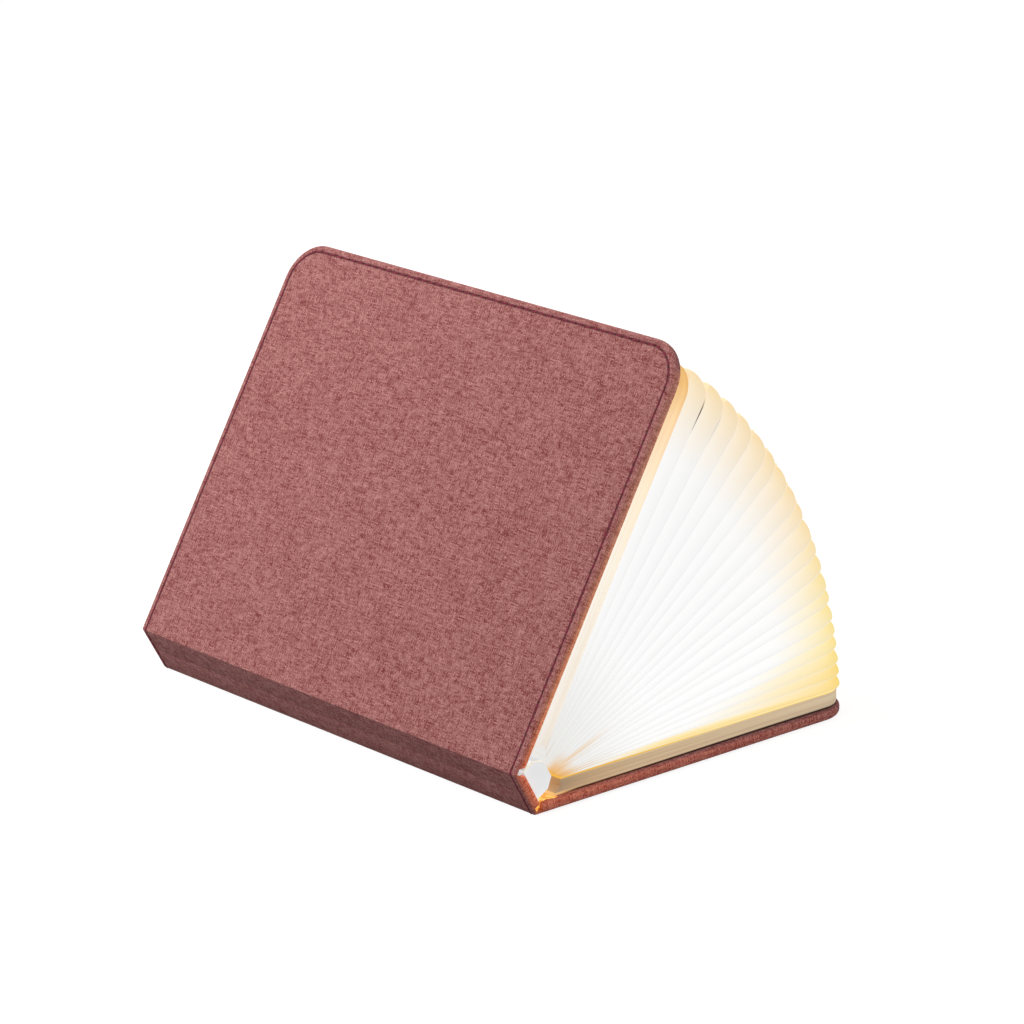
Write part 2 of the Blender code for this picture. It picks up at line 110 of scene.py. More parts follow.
class BookSizes(bpy.types.PropertyGroup):
    """Sizes of the cloth, thread and crease linings."""

    corner_radius: length_value("Corner radius", "Round fore-edge corners of the covers", 16)
    edge_round: length_value("Edge round", "Rounding of the cloth over the board", 1.5)
    cloth_wall: length_value("Cloth wall", "Cloth and backing that bend in a crease", 0.9)
    crease_setback: length_value("Crease setback", "From a crease's axis to the board", 1.65)
    turn_in: length_value("Turn-in", "Width of cloth turned in over the inside", 9)
    turned_cloth: length_value("Turned cloth", "How high the turned cloth stands", 0.95)
    stitch_inset: length_value("Stitch inset", "From the cloth's edge to the stitches", 2.9)
    stitch_pitch: length_value("Stitch pitch", "Length of one stitch with its gap", 4.1)
    thread_radius: length_value("Thread radius", "Half the thickness of the thread", 0.27)
    lining_wall: length_value("Lining", "Thickness of the crease linings", 0.24)
    lining_lap: length_value("Lining lap", "How far a crease lining lies on its cover", 8.2)


class FanSizes(bpy.types.PropertyGroup):
    """Sizes of the fan of paper loops and the pressed page blocks."""

    loops: bpy.props.IntProperty(name="Loops", description="Number of paper loops", default=20)
    crowding: share_value("Crowding", "How much the loops crowd towards the back cover", 5 / 12)
    end_inset: length_value("End inset", "From the cover's head edge to the pages", 2.2)
    edge_inset: length_value("Edge inset", "From the fore-edge to the leaf's end", 3.2)
    draw_in: length_value("Draw-in", "How much shorter the leaf by the front is", 5)
    corner: length_value("Page corner", "Round fore-edge corners of the pages", 12)
    corner_across: length_value("Corner across", "How far in a loop's corners reach", 8)
    start: length_value("Leaf start", "From the spine's axes to the leaves", 12.6)
    fold: share_value("Fold", "Depth of a fore-edge fold against its width", 0.44)
    uneven: share_value("Uneven", "How unevenly the loops stand, as a share of a loop", 0.14)
    slit: length_value("Slit", "Half the widest gap between two loops", 0.36)
    paper: length_value("Paper", "Thickness of a page", 0.16)
    block: length_value("Block", "Thickness of the pressed pages on a cover", 6)
    block_start: length_value("Block start", "From a crease to the block on its cover", 8.5)
    block_inset: length_value("Back block inset", "From the fore-edge to the back block", 2)
    front_block_inset: length_value("Front block inset", "From the fore-edge to the front block", 5)
    front_end_inset: length_value("Front end inset", "From the head edge to the front block", 1.2)


class CoreSizes(bpy.types.PropertyGroup):
    """Section of the moulded core and its end cap."""

    width: length_value("Width", "Across the core's foot", 13.4)
    height: length_value("Height", "From the core's foot to its crown", 9.4)
    side_height: length_value("Side height", "Straight part of the core's sides", 5.8)
    crown_width: length_value("Crown width", "Flat part of the core's crown", 7.4)
    rim: length_value("Rim", "Width of the cap's raised rim", 0.55)
    dish: length_value("Dish", "How deep the cap's face lies behind its rim", 0.22)


class LampColours(bpy.types.PropertyGroup):
    """Colours of cloth, thread, paper and plastic."""

    cloth: colour_value("Cloth", "Red yarn of the cloth", (0.235, 0.040, 0.040))
    fleck: colour_value("Fleck", "Pale yarn of the cloth", (0.640, 0.290, 0.270))
    thread: colour_value("Thread", "Sewing thread", (0.25, 0.030, 0.060))
    paper: colour_value("Paper", "Paper in daylight", (0.32, 0.315, 0.305))
    block: colour_value("Block", "Pressed page edges", (0.92, 0.74, 0.52))
    shell: colour_value("Core shell", "Plastic of the core", (0.76, 0.765, 0.775))


def book():
    return bpy.context.scene.book_sizes


def fan():
    return bpy.context.scene.fan_sizes


def core():
    return bpy.context.scene.core_sizes


def colours():
    return bpy.context.scene.lamp_colours


def deselect():
    """Object mode with nothing selected."""
    if bpy.context.mode != "OBJECT":
        bpy.ops.object.mode_set(mode="OBJECT")
    bpy.ops.object.select_all(action="DESELECT")


def select_alone(piece):
    deselect()
    piece.select_set(True)
    bpy.context.view_layer.objects.active = piece


def named(name):
    """The active object, renamed."""
    piece = bpy.context.active_object
    piece.name = name
    piece.data.name = name
    return piece


def settle():
    """Put the object's place, turn and scale into its mesh."""
    bpy.ops.object.transform_apply(location=True, rotation=True, scale=True)


def pick(piece, kind, test):
    """Select in edit mode the faces, edges or vertices whose middle and normal pass the test."""
    bpy.ops.object.mode_set(mode="EDIT")
    bpy.ops.mesh.select_mode(type=kind)
    bpy.ops.mesh.select_all(action="DESELECT")
    bpy.ops.object.mode_set(mode="OBJECT")
    mesh = piece.data
    if kind == "FACE":
        for face in mesh.polygons:
            face.select = test(face.center, face.normal)
    elif kind == "VERT":
        for vert in mesh.vertices:
            vert.select = test(vert.co)
    else:
        for edge in mesh.edges:
            a, b = (mesh.vertices[i].co for i in edge.vertices)
            edge.select = test(a, b)
    bpy.ops.object.mode_set(mode="EDIT")


def pull(x=0.0, y=0.0, z=0.0):
    """Extrude what is selected."""
    bpy.ops.mesh.extrude_region_move(TRANSFORM_OT_translate={"value": (x, y, z)})


def point_outwards():
    bpy.ops.mesh.select_all(action="SELECT")
    bpy.ops.mesh.normals_make_consistent(inside=False)


def slice_at(point, normal):
    """One cut right through the mesh in edit mode."""
    bpy.ops.mesh.select_all(action="SELECT")
    bpy.ops.mesh.bisect(plane_co=point, plane_no=normal)


def finish_modifiers(piece):
    select_alone(piece)
    for change in list(piece.modifiers):
        bpy.ops.object.modifier_apply(modifier=change.name)


def smooth(piece, degrees=40):
    select_alone(piece)
    bpy.ops.object.shade_smooth_by_angle(angle=math.radians(degrees))


def cut_with(piece, cutter):
    """Take the cutter's shape out of a piece."""
    change = piece.modifiers.new("Cut", "BOOLEAN")
    change.operation = "DIFFERENCE"
    change.solver = "EXACT"
    change.object = cutter
    finish_modifiers(piece)
    bpy.data.objects.remove(cutter, do_unlink=True)


def soften(piece, width, segments, degrees):
    """Round the edges that are sharper than an angle."""
    change = piece.modifiers.new("Soft edges", "BEVEL")
    change.width = width
    change.segments = segments
    change.limit_method = "ANGLE"
    change.angle_limit = math.radians(degrees)
    finish_modifiers(piece)


def rounded_plate(name, half, y_low, y_high, corner, z_low, z_high):
    """Plate with two round corners at y_high, left in edit mode."""
    deselect()
    bpy.ops.mesh.primitive_plane_add(size=2, location=(0, 0, 0))
    piece = named(name)
    piece.scale = (half, (y_high - y_low) / 2, 1)
    piece.location = (0, (y_high + y_low) / 2, z_low)
    settle()
    pick(piece, "VERT", lambda v: v.y > y_high - MM)
    bpy.ops.mesh.bevel(offset=corner, segments=12, affect="VERTICES")
    bpy.ops.mesh.select_all(action="SELECT")
    pull(z=z_high - z_low)
    point_outwards()
    return piece


def flat_layer(mesh):
    """The UV map of a piece, for places on the flat work."""
    return mesh.uv_layers.get("UVMap") or mesh.uv_layers.new(name="UVMap")


def turned(vector, angle):
    """A vector turned about +X."""
    return Matrix.Rotation(angle, 3, "X") @ vector


def fold_point(side, x, v, z):
    """Where a point of the flat work goes; the outside of a bend stands out a little further."""
    up = spine_up * side
    pivot = front_axis if side > 0 else back_axis
    turn = min(max((v - half_spine) / half_cover, 0), crease_turn)
    bend = -side * turn
    if z < 0:
        z /= 0.15 + 0.85 * math.cos(min(turn, crease_turn - turn))
    if v <= half_spine:
        place = spine_middle + up * v
    elif v <= cover_start:
        place = pivot
    else:
        place = pivot + turned(up, bend) * (v - cover_start)
    return place + turned(spine_in, bend) * z + Vector((x, 0, 0))


def fold_piece(piece, side):
    """Fold a flat piece round the crease on its side."""
    for vert in piece.data.vertices:
        vert.co = fold_point(side, *vert.co)
    if side > 0:
        piece.data.flip_normals()
    piece.data.update()


def bend_with_crease(piece, side):
    """Put the piece's place, turn and scale into its mesh, on either side."""
    if side > 0:
        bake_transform(piece)
    else:
        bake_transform(piece)


class Nodes:
    """Short names for the few node moves that the materials use."""

    def __init__(self, tree):
        self.tree = tree

    def add(self, kind, **settings):
        node = self.tree.nodes.new(kind)
        for key, value in settings.items():
            setattr(node, key, value)
        return node

    def link(self, source, target):
        self.tree.links.new(source, target)

    def feed(self, socket, value):
        """Link a socket to another one, or set its value."""
        if isinstance(value, bpy.types.NodeSocket):
            self.link(value, socket)
        else:
            socket.default_value = value

    def dress(self, node, **values):
        """Feed sockets by name, with underscores for spaces."""
        for name, value in values.items():
            self.feed(node.inputs[name.replace("_", " ")], value)
        return node.outputs

    def place(self):
        return self.add("ShaderNodeTexCoord").outputs["Object"]

    def flat(self):
        return self.add("ShaderNodeUVMap", uv_map="UVMap").outputs[0]

    def attribute(self, name):
        return self.add("ShaderNodeAttribute", attribute_name=name).outputs["Fac"]

    def math(self, operation, a, b=0.0, c=None):
        node = self.add("ShaderNodeMath", operation=operation)
        self.feed(node.inputs[0], a)
        self.feed(node.inputs[1], b)
        if c is not None:
            self.feed(node.inputs[2], c)
        return node.outputs[0]

    def times(self, a, b):
        return self.math("MULTIPLY", a, b)

    def over_zero(self, value):
        return self.math("MAXIMUM", value, 0.0)

    def between(self, value, low, high, to_low=0.0, to_high=1.0):
        """A smooth step from one value to another."""
        node = self.add("ShaderNodeMapRange")
        node.interpolation_type = "SMOOTHSTEP"
        for index, number in enumerate((value, low, high, to_low, to_high)):
            self.feed(node.inputs[index], number)
        return node.outputs[0]

    def mix(self, factor, a, b, mode="MIX"):
        node = self.add("ShaderNodeMix", data_type="RGBA", blend_type=mode)
        self.feed(node.inputs[0], factor)
        self.feed(node.inputs[6], (*a, 1) if isinstance(a, tuple) else a)
        self.feed(node.inputs[7], (*b, 1) if isinstance(b, tuple) else b)
        return node.outputs[2]

    def tinted(self, a, b):
        return self.mix(1.0, a, b, "MULTIPLY")

    def noise(self, vector, scale, detail=2.0, rough=0.5):
        node = self.add("ShaderNodeTexNoise")
        return self.dress(node, Vector=vector, Scale=scale, Detail=detail, Roughness=rough)["Fac"]

    def stretched(self, vector, x, y, z=1.0):
        return self.dress(self.add("ShaderNodeMapping"), Vector=vector, Scale=(x, y, z))[0]

    def joined(self, x, y):
        return self.dress(self.add("ShaderNodeCombineXYZ"), X=x, Y=y)[0]

    def parts(self, vector):
        return self.dress(self.add("ShaderNodeSeparateXYZ"), Vector=vector)

    def ramp(self, value, stops):
        node = self.add("ShaderNodeValToRGB")
        self.feed(node.inputs[0], value)
        points = node.color_ramp.elements
        while len(points) > 1:
            points.remove(points[-1])
        points[0].position = stops[0][0]
        points[0].color = (*stops[0][1], 1)
        for place, colour in stops[1:]:
            points.new(place).color = (*colour, 1)
        return node.outputs[0]

    def bump(self, height, distance, strength=1.0):
        return self.dress(self.add("ShaderNodeBump"), Height=height, Distance=distance, Strength=strength)[0]


def new_material(name):
    """A material with a Principled shader, its node helper and the shader."""
    made = bpy.data.materials.new(name)
    made.use_nodes = True
    made.node_tree.nodes.clear()
    nodes = Nodes(made.node_tree)
    out = nodes.add("ShaderNodeOutputMaterial")
    shader = nodes.add("ShaderNodeBsdfPrincipled")
    nodes.link(shader.outputs[0], out.inputs[0])
    return made, nodes, shader


def new_group(name, inputs, outputs):
    """A node group from lists of (name, socket type, default)."""
    tree = bpy.data.node_groups.new(name, "ShaderNodeTree")
    for way, sockets in (("INPUT", inputs), ("OUTPUT", outputs)):
        for label, kind, default in sockets:
            socket = tree.interface.new_socket(label, in_out=way, socket_type=kind)
            if default is not None:
                socket.default_value = default
    nodes = Nodes(tree)
    return tree, nodes, nodes.add("NodeGroupInput").outputs, nodes.add("NodeGroupOutput").inputs


def place_group(nodes, tree, **values):
    return nodes.dress(nodes.add("ShaderNodeGroup", node_tree=tree), **values)


def scaled(colour, factor):
    return tuple(part * factor for part in colour)


def melange_group():
    """Plain weave of mottled yarns over flat coordinates in metres."""
    tree, n, given, out = new_group(
        "Melange weave",
        [
            ("Flat", "NodeSocketVector", None),
            ("Pitch", "NodeSocketFloat", 0.5),
            ("Yarn", "NodeSocketColor", None),
            ("Fleck", "NodeSocketColor", None),
        ],
        [("Colour", "NodeSocketColor", None), ("Height", "NodeSocketFloat", None)],
    )
    flat = n.dress(n.add("ShaderNodeVectorMath", operation="SCALE"), Vector=given["Flat"], Scale=1000)[0]
    drift = n.noise(flat, 0.35, 2)
    x, y, _ = n.parts(flat)
    u = n.math("MULTIPLY_ADD", drift, 1.6, n.math("DIVIDE", x, given["Pitch"]))
    v = n.math("MULTIPLY_ADD", drift, -1.4, n.math("DIVIDE", y, given["Pitch"]))
    warp = n.math("SINE", n.times(u, math.pi))
    weft = n.math("SINE", n.times(v, math.pi))
    warp_place = n.joined(n.times(n.math("FLOOR", u), 3.7), n.times(y, 0.34))
    weft_place = n.joined(n.times(x, 0.22), n.times(n.math("FLOOR", v), 3.7))
    warp_yarn = n.noise(warp_place, 1.0, 2, 0.6)
    weft_yarn = n.noise(weft_place, 1.0, 2, 0.6)
    over = n.between(n.times(warp, weft), -0.25, 0.25)
    warp_crown = n.math("ABSOLUTE", warp)
    weft_crown = n.math("ABSOLUTE", weft)
    height = n.math("MULTIPLY_ADD", n.math("SUBTRACT", warp_crown, weft_crown), over, weft_crown)
    yarn = n.math("MULTIPLY_ADD", n.math("SUBTRACT", warp_yarn, weft_yarn), over, weft_yarn)
    grain = n.noise(flat, 2.6, 2, 0.7)
    cloud = n.noise(flat, 0.04, 3)
    level = n.math("MULTIPLY_ADD", grain, 0.18, n.times(yarn, 0.82))
    level = n.math("MULTIPLY_ADD", n.math("SUBTRACT", cloud, 0.5), 0.06, level)
    share = n.between(level, 0.32, 0.68)
    colour = n.mix(share, given["Yarn"], given["Fleck"])
    # Painted shade and highlight: the colour darkens to half in the hollows of the weave and brightens a
    # little on the yarn crowns.
    dark = n.between(height, 0.05, 0.75, 0.5, 1.12)
    n.link(n.tinted(colour, n.mix(dark, (0, 0, 0), (1, 1, 1))), out["Colour"])
    n.link(n.math("ADD", height, n.times(share, 0.35)), out["Height"])
    return tree


def stitch_group():
    """Distance in metres from the line of stitches, a rectangle with round corners on the flat cloth."""
    tree, n, given, out = new_group(
        "Stitch line",
        [
            ("Flat", "NodeSocketVector", None),
            ("Half width", "NodeSocketFloat", 0.1),
            ("Half height", "NodeSocketFloat", 0.1),
            ("Corner", "NodeSocketFloat", 0.01),
        ],
        [("Distance", "NodeSocketFloat", None)],
    )
    x, y, _ = n.parts(given["Flat"])
    past = [
        n.math("SUBTRACT", n.math("ABSOLUTE", place), n.math("SUBTRACT", given[half], given["Corner"]))
        for place, half in ((x, "Half width"), (y, "Half height"))
    ]
    out_x, out_y = (n.over_zero(distance) for distance in past)
    outside = n.math("SQRT", n.math("ADD", n.times(out_x, out_x), n.times(out_y, out_y)))
    inside = n.math("MINIMUM", n.math("MAXIMUM", *past), 0.0)
    signed = n.math("SUBTRACT", n.math("ADD", outside, inside), given["Corner"])
    n.link(n.math("ABSOLUTE", signed), out["Distance"])
    return tree


def cloth_material():
    """Melange cloth, pressed along the stitches and darkened there with painted shade, warm with painted
    light where the lit pages shine on it, and with painted shade on the back cover's turned-in inside.
    """
    made, n, shader = new_material("Cover cloth")
    sizes = book()
    flat = n.flat()
    yarns = {"Yarn": (*colours().cloth, 1), "Fleck": (*colours().fleck, 1)}
    weave = place_group(n, melange_group(), Flat=flat, Pitch=0.56, **yarns)
    line = place_group(
        n,
        stitch_group(),
        Flat=flat,
        Half_width=half_length - sizes.stitch_inset,
        Half_height=flat_reach - sizes.stitch_inset,
        Corner=sizes.corner_radius - sizes.stitch_inset,
    )["Distance"]
    # The cloth is pressed into a groove along the stitches, and the groove is darkened with painted shade.
    pressed = n.between(line, 0.15 * MM, 0.8 * MM, 1.0, 0.0)
    shaded = n.mix(n.times(pressed, 0.85), weave["Colour"], (0.045, 0.008, 0.010))
    # Painted light and shade from the glow attribute: above zero the pages' light warms the base and glows
    # orange, below zero the base darkens as painted shade.
    glow = n.attribute("glow")
    bright = n.over_zero(glow)
    dim = n.over_zero(n.times(glow, -1.0))
    across = n.parts(flat)[1]
    on_front = n.between(across, 8 * MM, 45 * MM)
    far = n.between(across, 20 * MM, 150 * MM)
    # Painted light: the page light warms the base colour towards orange, less so on the front.
    warm = n.times(bright, n.math("MULTIPLY_ADD", on_front, -0.4, 0.5))
    base = n.mix(warm, shaded, (0.60, 0.11, 0.03))
    # Colour of the painted light: the weave tinted orange by the spine, mixed with plain orange to brown
    # further along the cover.
    woven = n.tinted(weave["Colour"], n.mix(on_front, (1.1, 0.62, 0.14), (1.0, 1.2, 0.4)))
    even = n.mix(far, (0.62, 0.18, 0.035), (0.50, 0.24, 0.15))
    tint = n.mix(n.times(on_front, 0.6), woven, even)
    height = n.math("SUBTRACT", weave["Height"], n.times(pressed, 2.2))
    n.dress(
        shader,
        Base_Color=n.mix(dim, base, (0.035, 0.008, 0.006)),
        Emission_Color=n.mix(bright, (0, 0, 0), tint),
        Emission_Strength=0.8,
        Roughness=0.86,
        Sheen_Weight=0.06,
        Sheen_Roughness=0.5,
        Specular_IOR_Level=0.12,
        Normal=n.bump(height, 0.10 * MM, 0.85),
    )
    return made


def thread_material():
    """Twisted sewing thread."""
    made, n, shader = new_material("Sewing thread")
    thread = tuple(colours().thread)
    twist = n.noise(n.place(), 2600, 2)
    n.dress(
        shader,
        Base_Color=n.mix(twist, scaled(thread, 0.55), scaled(thread, 1.7)),
        Roughness=0.7,
        Specular_IOR_Level=0.15,
        Normal=n.bump(twist, 0.05 * MM),
    )
    return made


def page_light_group():
    """Colour of the lit paper: white in the middle, gold by the core, yellow and peach in the folds."""
    tree, n, given, out = new_group(
        "Page light",
        [(name, "NodeSocketFloat", 0.5) for name in ("Depth", "Share", "Inside", "Core gold")],
        [("Colour", "NodeSocketColor", None)],
    )
    depth, share, inside, core_gold = (given[name] for name in ("Depth", "Share", "Inside", "Core gold"))
    low = n.between(share, 0.0, 0.16, 1.0, 0.0)
    start = n.math("MULTIPLY_ADD", low, -0.42, 0.80)
    rise = n.math("DIVIDE", n.math("SUBTRACT", depth, start), n.math("SUBTRACT", 1.0, start))
    tint = n.math("POWER", n.math("MINIMUM", n.over_zero(rise), 1.0), 1.3)
    tint = n.times(tint, n.between(inside, 0.0, 0.9, 1.0, 0.50))
    lowest = n.times(n.between(share, 0.012, 0.034, 0.85, 0.0), n.between(depth, 0.12, 0.45))
    lowest = n.times(lowest, n.between(inside, 0.05, 0.40, 1.0, 0.25))
    rim = n.mix(n.between(share, 0.12, 0.50), (1.0, 0.83, 0.36), (1.0, 0.79, 0.46))
    rim = n.mix(n.math("POWER", low, 2.0), rim, (1.0, 0.75, 0.22))
    white = n.mix(n.between(depth, 0.08, 0.40), (0.88, 0.88, 0.87), (0.985, 0.99, 1.0))
    page = n.mix(n.math("MAXIMUM", tint, lowest), white, rim)
    # Painted shade: gold by the core, and a gold line along one seam there, where the loops crowd together.
    gold = n.times(n.between(depth, 0.075, 0.15, 1.0, 0.0), core_gold)
    gold = n.times(gold, n.between(share, 0.30, 0.62, 1.0, 0.0))
    off_ray = n.math("ABSOLUTE", n.math("SUBTRACT", share, 0.317))
    ray = n.times(n.between(off_ray, 0.008, 0.022, 0.9, 0.0), n.between(depth, 0.12, 0.30, 1.0, 0.0))
    n.link(n.mix(n.math("MAXIMUM", gold, ray), page, (0.90, 0.50, 0.12)), out["Colour"])
    return tree


def page_light(n, depth, share, inside, gold):
    """Colour of lit paper by depth along its leaf, share of the opening and distance in from its ends."""
    tree = bpy.data.node_groups.get("Page light") or page_light_group()
    return place_group(n, tree, Depth=depth, Share=share, Inside=inside, Core_gold=gold)[0]


def paper_material():
    """The inside of the lit paper loops, which the open head and tail ends show."""
    made, n, shader = new_material("Lit paper")
    place = n.place()
    cloud = n.noise(place, 45, 3)
    fibre = n.noise(n.stretched(place, 0.25, 1), 900, 3, 0.6)
    wavering = n.math("MULTIPLY_ADD", n.math("SUBTRACT", cloud, 0.5), 0.05, n.attribute("depth"))
    lit = page_light(n, wavering, n.attribute("share"), n.attribute("inside"), 0.8)
    n.dress(
        shader,
        Base_Color=n.mix(n.times(fibre, 0.12), n.tinted(lit, tuple(colours().paper)), (0.30, 0.28, 0.24)),
        Emission_Color=lit,
        Emission_Strength=0.68,
        Roughness=0.7,
        Specular_IOR_Level=0.2,
        Normal=n.bump(n.math("ADD", fibre, cloud), 0.05 * MM, 0.5),
    )
    return made


def paper_edge_material():
    """Cut edges of the pages: gold lines of painted shade by the core, which fade out a few centimetres from
    it.
    """
    made, n, shader = new_material("Paper edge")
    depth = n.attribute("depth")
    share = n.attribute("share")
    fibre = n.noise(n.place(), 1200, 2)
    bundle = n.between(n.noise(n.joined(n.times(share, 60.0), 0.0), 1.0, 2), 0.44, 0.60)
    reach = n.math("MULTIPLY_ADD", n.between(share, 0.1, 0.8, 1.0, 0.0), 0.16, 0.14)
    line = n.times(n.between(depth, 0.08, reach, 1.0, 0.0), bundle)
    lit = n.mix(line, page_light(n, depth, share, 0.9, 1.0), (0.85, 0.47, 0.10))
    base = n.mix(n.times(fibre, 0.15), n.tinted(lit, (0.34, 0.335, 0.32)), (0.2, 0.14, 0.08))
    n.dress(shader, Base_Color=base, Emission_Color=lit, Emission_Strength=0.68, Roughness=0.8)
    return made


def paper_outside_material():
    """The outside of the loops: dim where two loops lie together, lit in the fore-edge folds."""
    made, n, shader = new_material("Paper outside")
    share = n.attribute("share")
    fibre = n.noise(n.stretched(n.place(), 0.25, 1), 900, 3, 0.6)
    fold = n.mix(n.between(share, 0.0, 0.4), (1.3, 0.96, 0.36), (1.28, 1.0, 0.62))
    # Painted shade: the backs of the front loops turn dark brown, so the slits between them show dark.
    back = n.mix(n.between(share, 0.84, 0.92), (0.92, 0.90, 0.86), (0.16, 0.10, 0.03))
    lit = n.mix(n.between(n.attribute("depth"), 0.915, 0.965), back, fold)
    lit = n.mix(n.times(fibre, 0.25), lit, n.tinted(lit, (0.7, 0.6, 0.5)))
    n.dress(
        shader,
        Base_Color=n.tinted(lit, tuple(colours().paper)),
        Emission_Color=lit,
        Emission_Strength=0.6,
        Roughness=0.7,
        Normal=n.bump(fibre, 0.05 * MM, 0.5),
    )
    return made


def front_block_light(n, depth, height, paper):
    """Paper and light of the front block: white by the spine, gold at the fore-edge."""
    stops = [
        (0.0, (1.06, 1.06, 1.04)),
        (0.10, (1.16, 1.15, 1.12)),
        (0.45, (1.24, 1.22, 1.14)),
        (0.66, (1.26, 1.14, 0.92)),
        (0.84, (1.22, 0.90, 0.54)),
        (0.92, (1.06, 0.66, 0.24)),
        (1.0, (0.86, 0.50, 0.17)),
    ]
    lit = n.ramp(depth, stops)
    lit = n.mix(n.times(n.between(height, 0.0, 1.0), 0.24), lit, n.tinted(lit, (1.0, 0.78, 0.52)))
    # The paper's colour is mostly the painted light as well.
    return n.mix(0.9, paper, n.tinted(lit, (0.44, 0.43, 0.42))), lit


def back_block_light(n, depth, height, paper):
    """Paper and light of the back block, with the light painted into the paper's colour as well: dim, with a
    lit leaf on top, one low by the core, and a painted shadow as a dark foot.
    """
    stops = [
        (0.0, (0.10, 0.045, 0.012)),
        (0.12, (0.32, 0.18, 0.06)),
        (0.6, (0.30, 0.21, 0.11)),
        (1.0, (0.26, 0.21, 0.14)),
    ]
    lit = n.ramp(depth, stops)
    # Painted light and shade: the paper darkens to a warm brown by the spine.
    paper = n.mix(n.between(depth, 0.0, 0.3, 0.45, 0.0), paper, (0.34, 0.19, 0.09))
    low_leaf = n.times(n.between(height, 0.12, 0.18, 1.0, 0.0), n.between(depth, 0.0, 0.11, 1.0, 0.0))
    lit = n.mix(low_leaf, lit, (0.9, 0.5, 0.12))
    top_leaf = n.between(height, 0.90, 0.97)
    distant = n.between(depth, 0.1, 0.7)
    lit = n.mix(top_leaf, lit, n.mix(distant, (1.15, 0.70, 0.10), (1.35, 1.0, 0.30)))
    # The lit top leaf is painted into the paper's colour as well.
    paper = n.mix(top_leaf, paper, n.mix(distant, (0.42, 0.24, 0.05), (0.6, 0.45, 0.15)))
    # Painted shadow: a near-black line along the foot, where the block meets the cover.
    foot = n.times(n.between(height, 0.03, 0.11, 1.0, 0.0), n.between(depth, 0.02, 0.08))
    return n.mix(foot, paper, (0.05, 0.022, 0.010)), n.mix(foot, lit, (0, 0, 0))


def block_material(name, side):
    """Pressed page edges: fine lines along the block, lit from the spine and from the fan's side."""
    made, n, shader = new_material(name)
    flat = n.flat()
    lines = n.noise(n.stretched(flat, 9, 26), 1.0, 3, 0.65)
    wide = n.noise(n.stretched(flat, 5, 5), 1.0, 2, 0.5)
    mark = n.math("ADD", n.times(lines, 0.6), n.times(wide, 0.4))
    block = tuple(colours().block)
    paper = n.mix(n.between(mark, 0.32, 0.68), scaled(block, 0.74), scaled(block, 1.18))
    dress_side = front_block_light if side > 0 else back_block_light
    paper, lit = dress_side(n, n.attribute("depth"), n.parts(flat)[1], paper)
    n.dress(
        shader,
        Base_Color=paper,
        Emission_Color=n.tinted(lit, n.mix(n.between(mark, 0.3, 0.7), (0.8, 0.74, 0.66), (1, 1, 1))),
        Emission_Strength=0.6,
        Roughness=0.85,
        Specular_IOR_Level=0.2,
        Normal=n.bump(mark, 0.08 * MM, 0.6),
    )
    return made


def crease_material(name, side):
    """Soft lining cloth in a crease, with the light painted into its colour as well as its glow: crumpled
    gold at the back, washed out by the light at the front.
    """
    made, n, shader = new_material(name)
    flat = n.flat()
    x, y, _ = n.parts(flat)
    turns = math.pi / (0.35 * MM)
    weave = n.times(n.math("SINE", n.times(x, turns)), n.math("SINE", n.times(y, turns)))
    cloud = n.noise(flat, 420, 3, 0.6)
    # Painted light and shade on the crumples.
    fold = n.between(cloud, 0.38, 0.62)
    if side > 0:
        base = n.mix(fold, (0.38, 0.38, 0.375), (0.40, 0.40, 0.40))
        lit = n.mix(fold, (0.57, 0.565, 0.55), (0.60, 0.60, 0.595))
    else:
        # Painted light: near white where the core lights the lining under it.
        under_core = n.between(y, 2.2 * MM, 3.4 * MM, 1.0, 0.0)
        base = n.mix(fold, (0.40, 0.15, 0.03), (0.55, 0.36, 0.12))
        base = n.mix(under_core, base, (0.55, 0.52, 0.46))
        lit = n.mix(fold, (0.72, 0.24, 0.02), (1.1, 0.74, 0.16))
        lit = n.mix(under_core, lit, (1.0, 0.93, 0.78))
    n.dress(
        shader,
        Base_Color=base,
        Emission_Color=lit,
        Emission_Strength=0.7,
        Roughness=0.8,
        Normal=n.bump(n.math("MULTIPLY_ADD", cloud, 6.0, weave), 0.06 * MM),
    )
    return made


def lining_material():
    """Cream lining paper with faint fibres, tinted by the light inside."""
    made, n, shader = new_material("Lining paper")
    place = n.place()
    fibre = n.noise(n.stretched(place, 1, 0.3), 700, 3, 0.6)
    level = n.math("ADD", n.times(fibre, 0.7), n.times(n.noise(place, 30, 2), 0.3))
    n.dress(
        shader,
        Base_Color=n.mix(level, (0.66, 0.55, 0.40), (0.82, 0.76, 0.64)),
        Emission_Color=n.mix(level, (0.26, 0.13, 0.03), (0.40, 0.22, 0.07)),
        Emission_Strength=0.4,
        Roughness=0.75,
        Normal=n.bump(fibre, 0.05 * MM, 0.6),
    )
    return made


def moulded_material(name, colour, roughness, glow=None, strength=0.0, grain=2400):
    """Fine moulded grain with faint cloudiness."""
    made, n, shader = new_material(name)
    place = n.place()
    fine = n.noise(place, grain, 2)
    cloud = n.noise(place, 120, 2)
    level = n.math("ADD", n.times(fine, 0.4), n.times(cloud, 0.6))
    pale = tuple(min(1, part) for part in scaled(colour, 1.1))
    n.dress(
        shader,
        Base_Color=n.mix(level, scaled(colour, 0.88), pale),
        Roughness=n.between(level, 0.3, 0.7, roughness - 0.06, roughness + 0.06),
        Normal=n.bump(fine, 0.04 * MM, 0.5),
    )
    # A glow: real lamp light for the diffuser, painted light for the core shell and the lit rim.
    if glow:
        n.dress(shader, Emission_Color=n.mix(cloud, scaled(glow, 0.92), glow), Emission_Strength=strength)
    return made


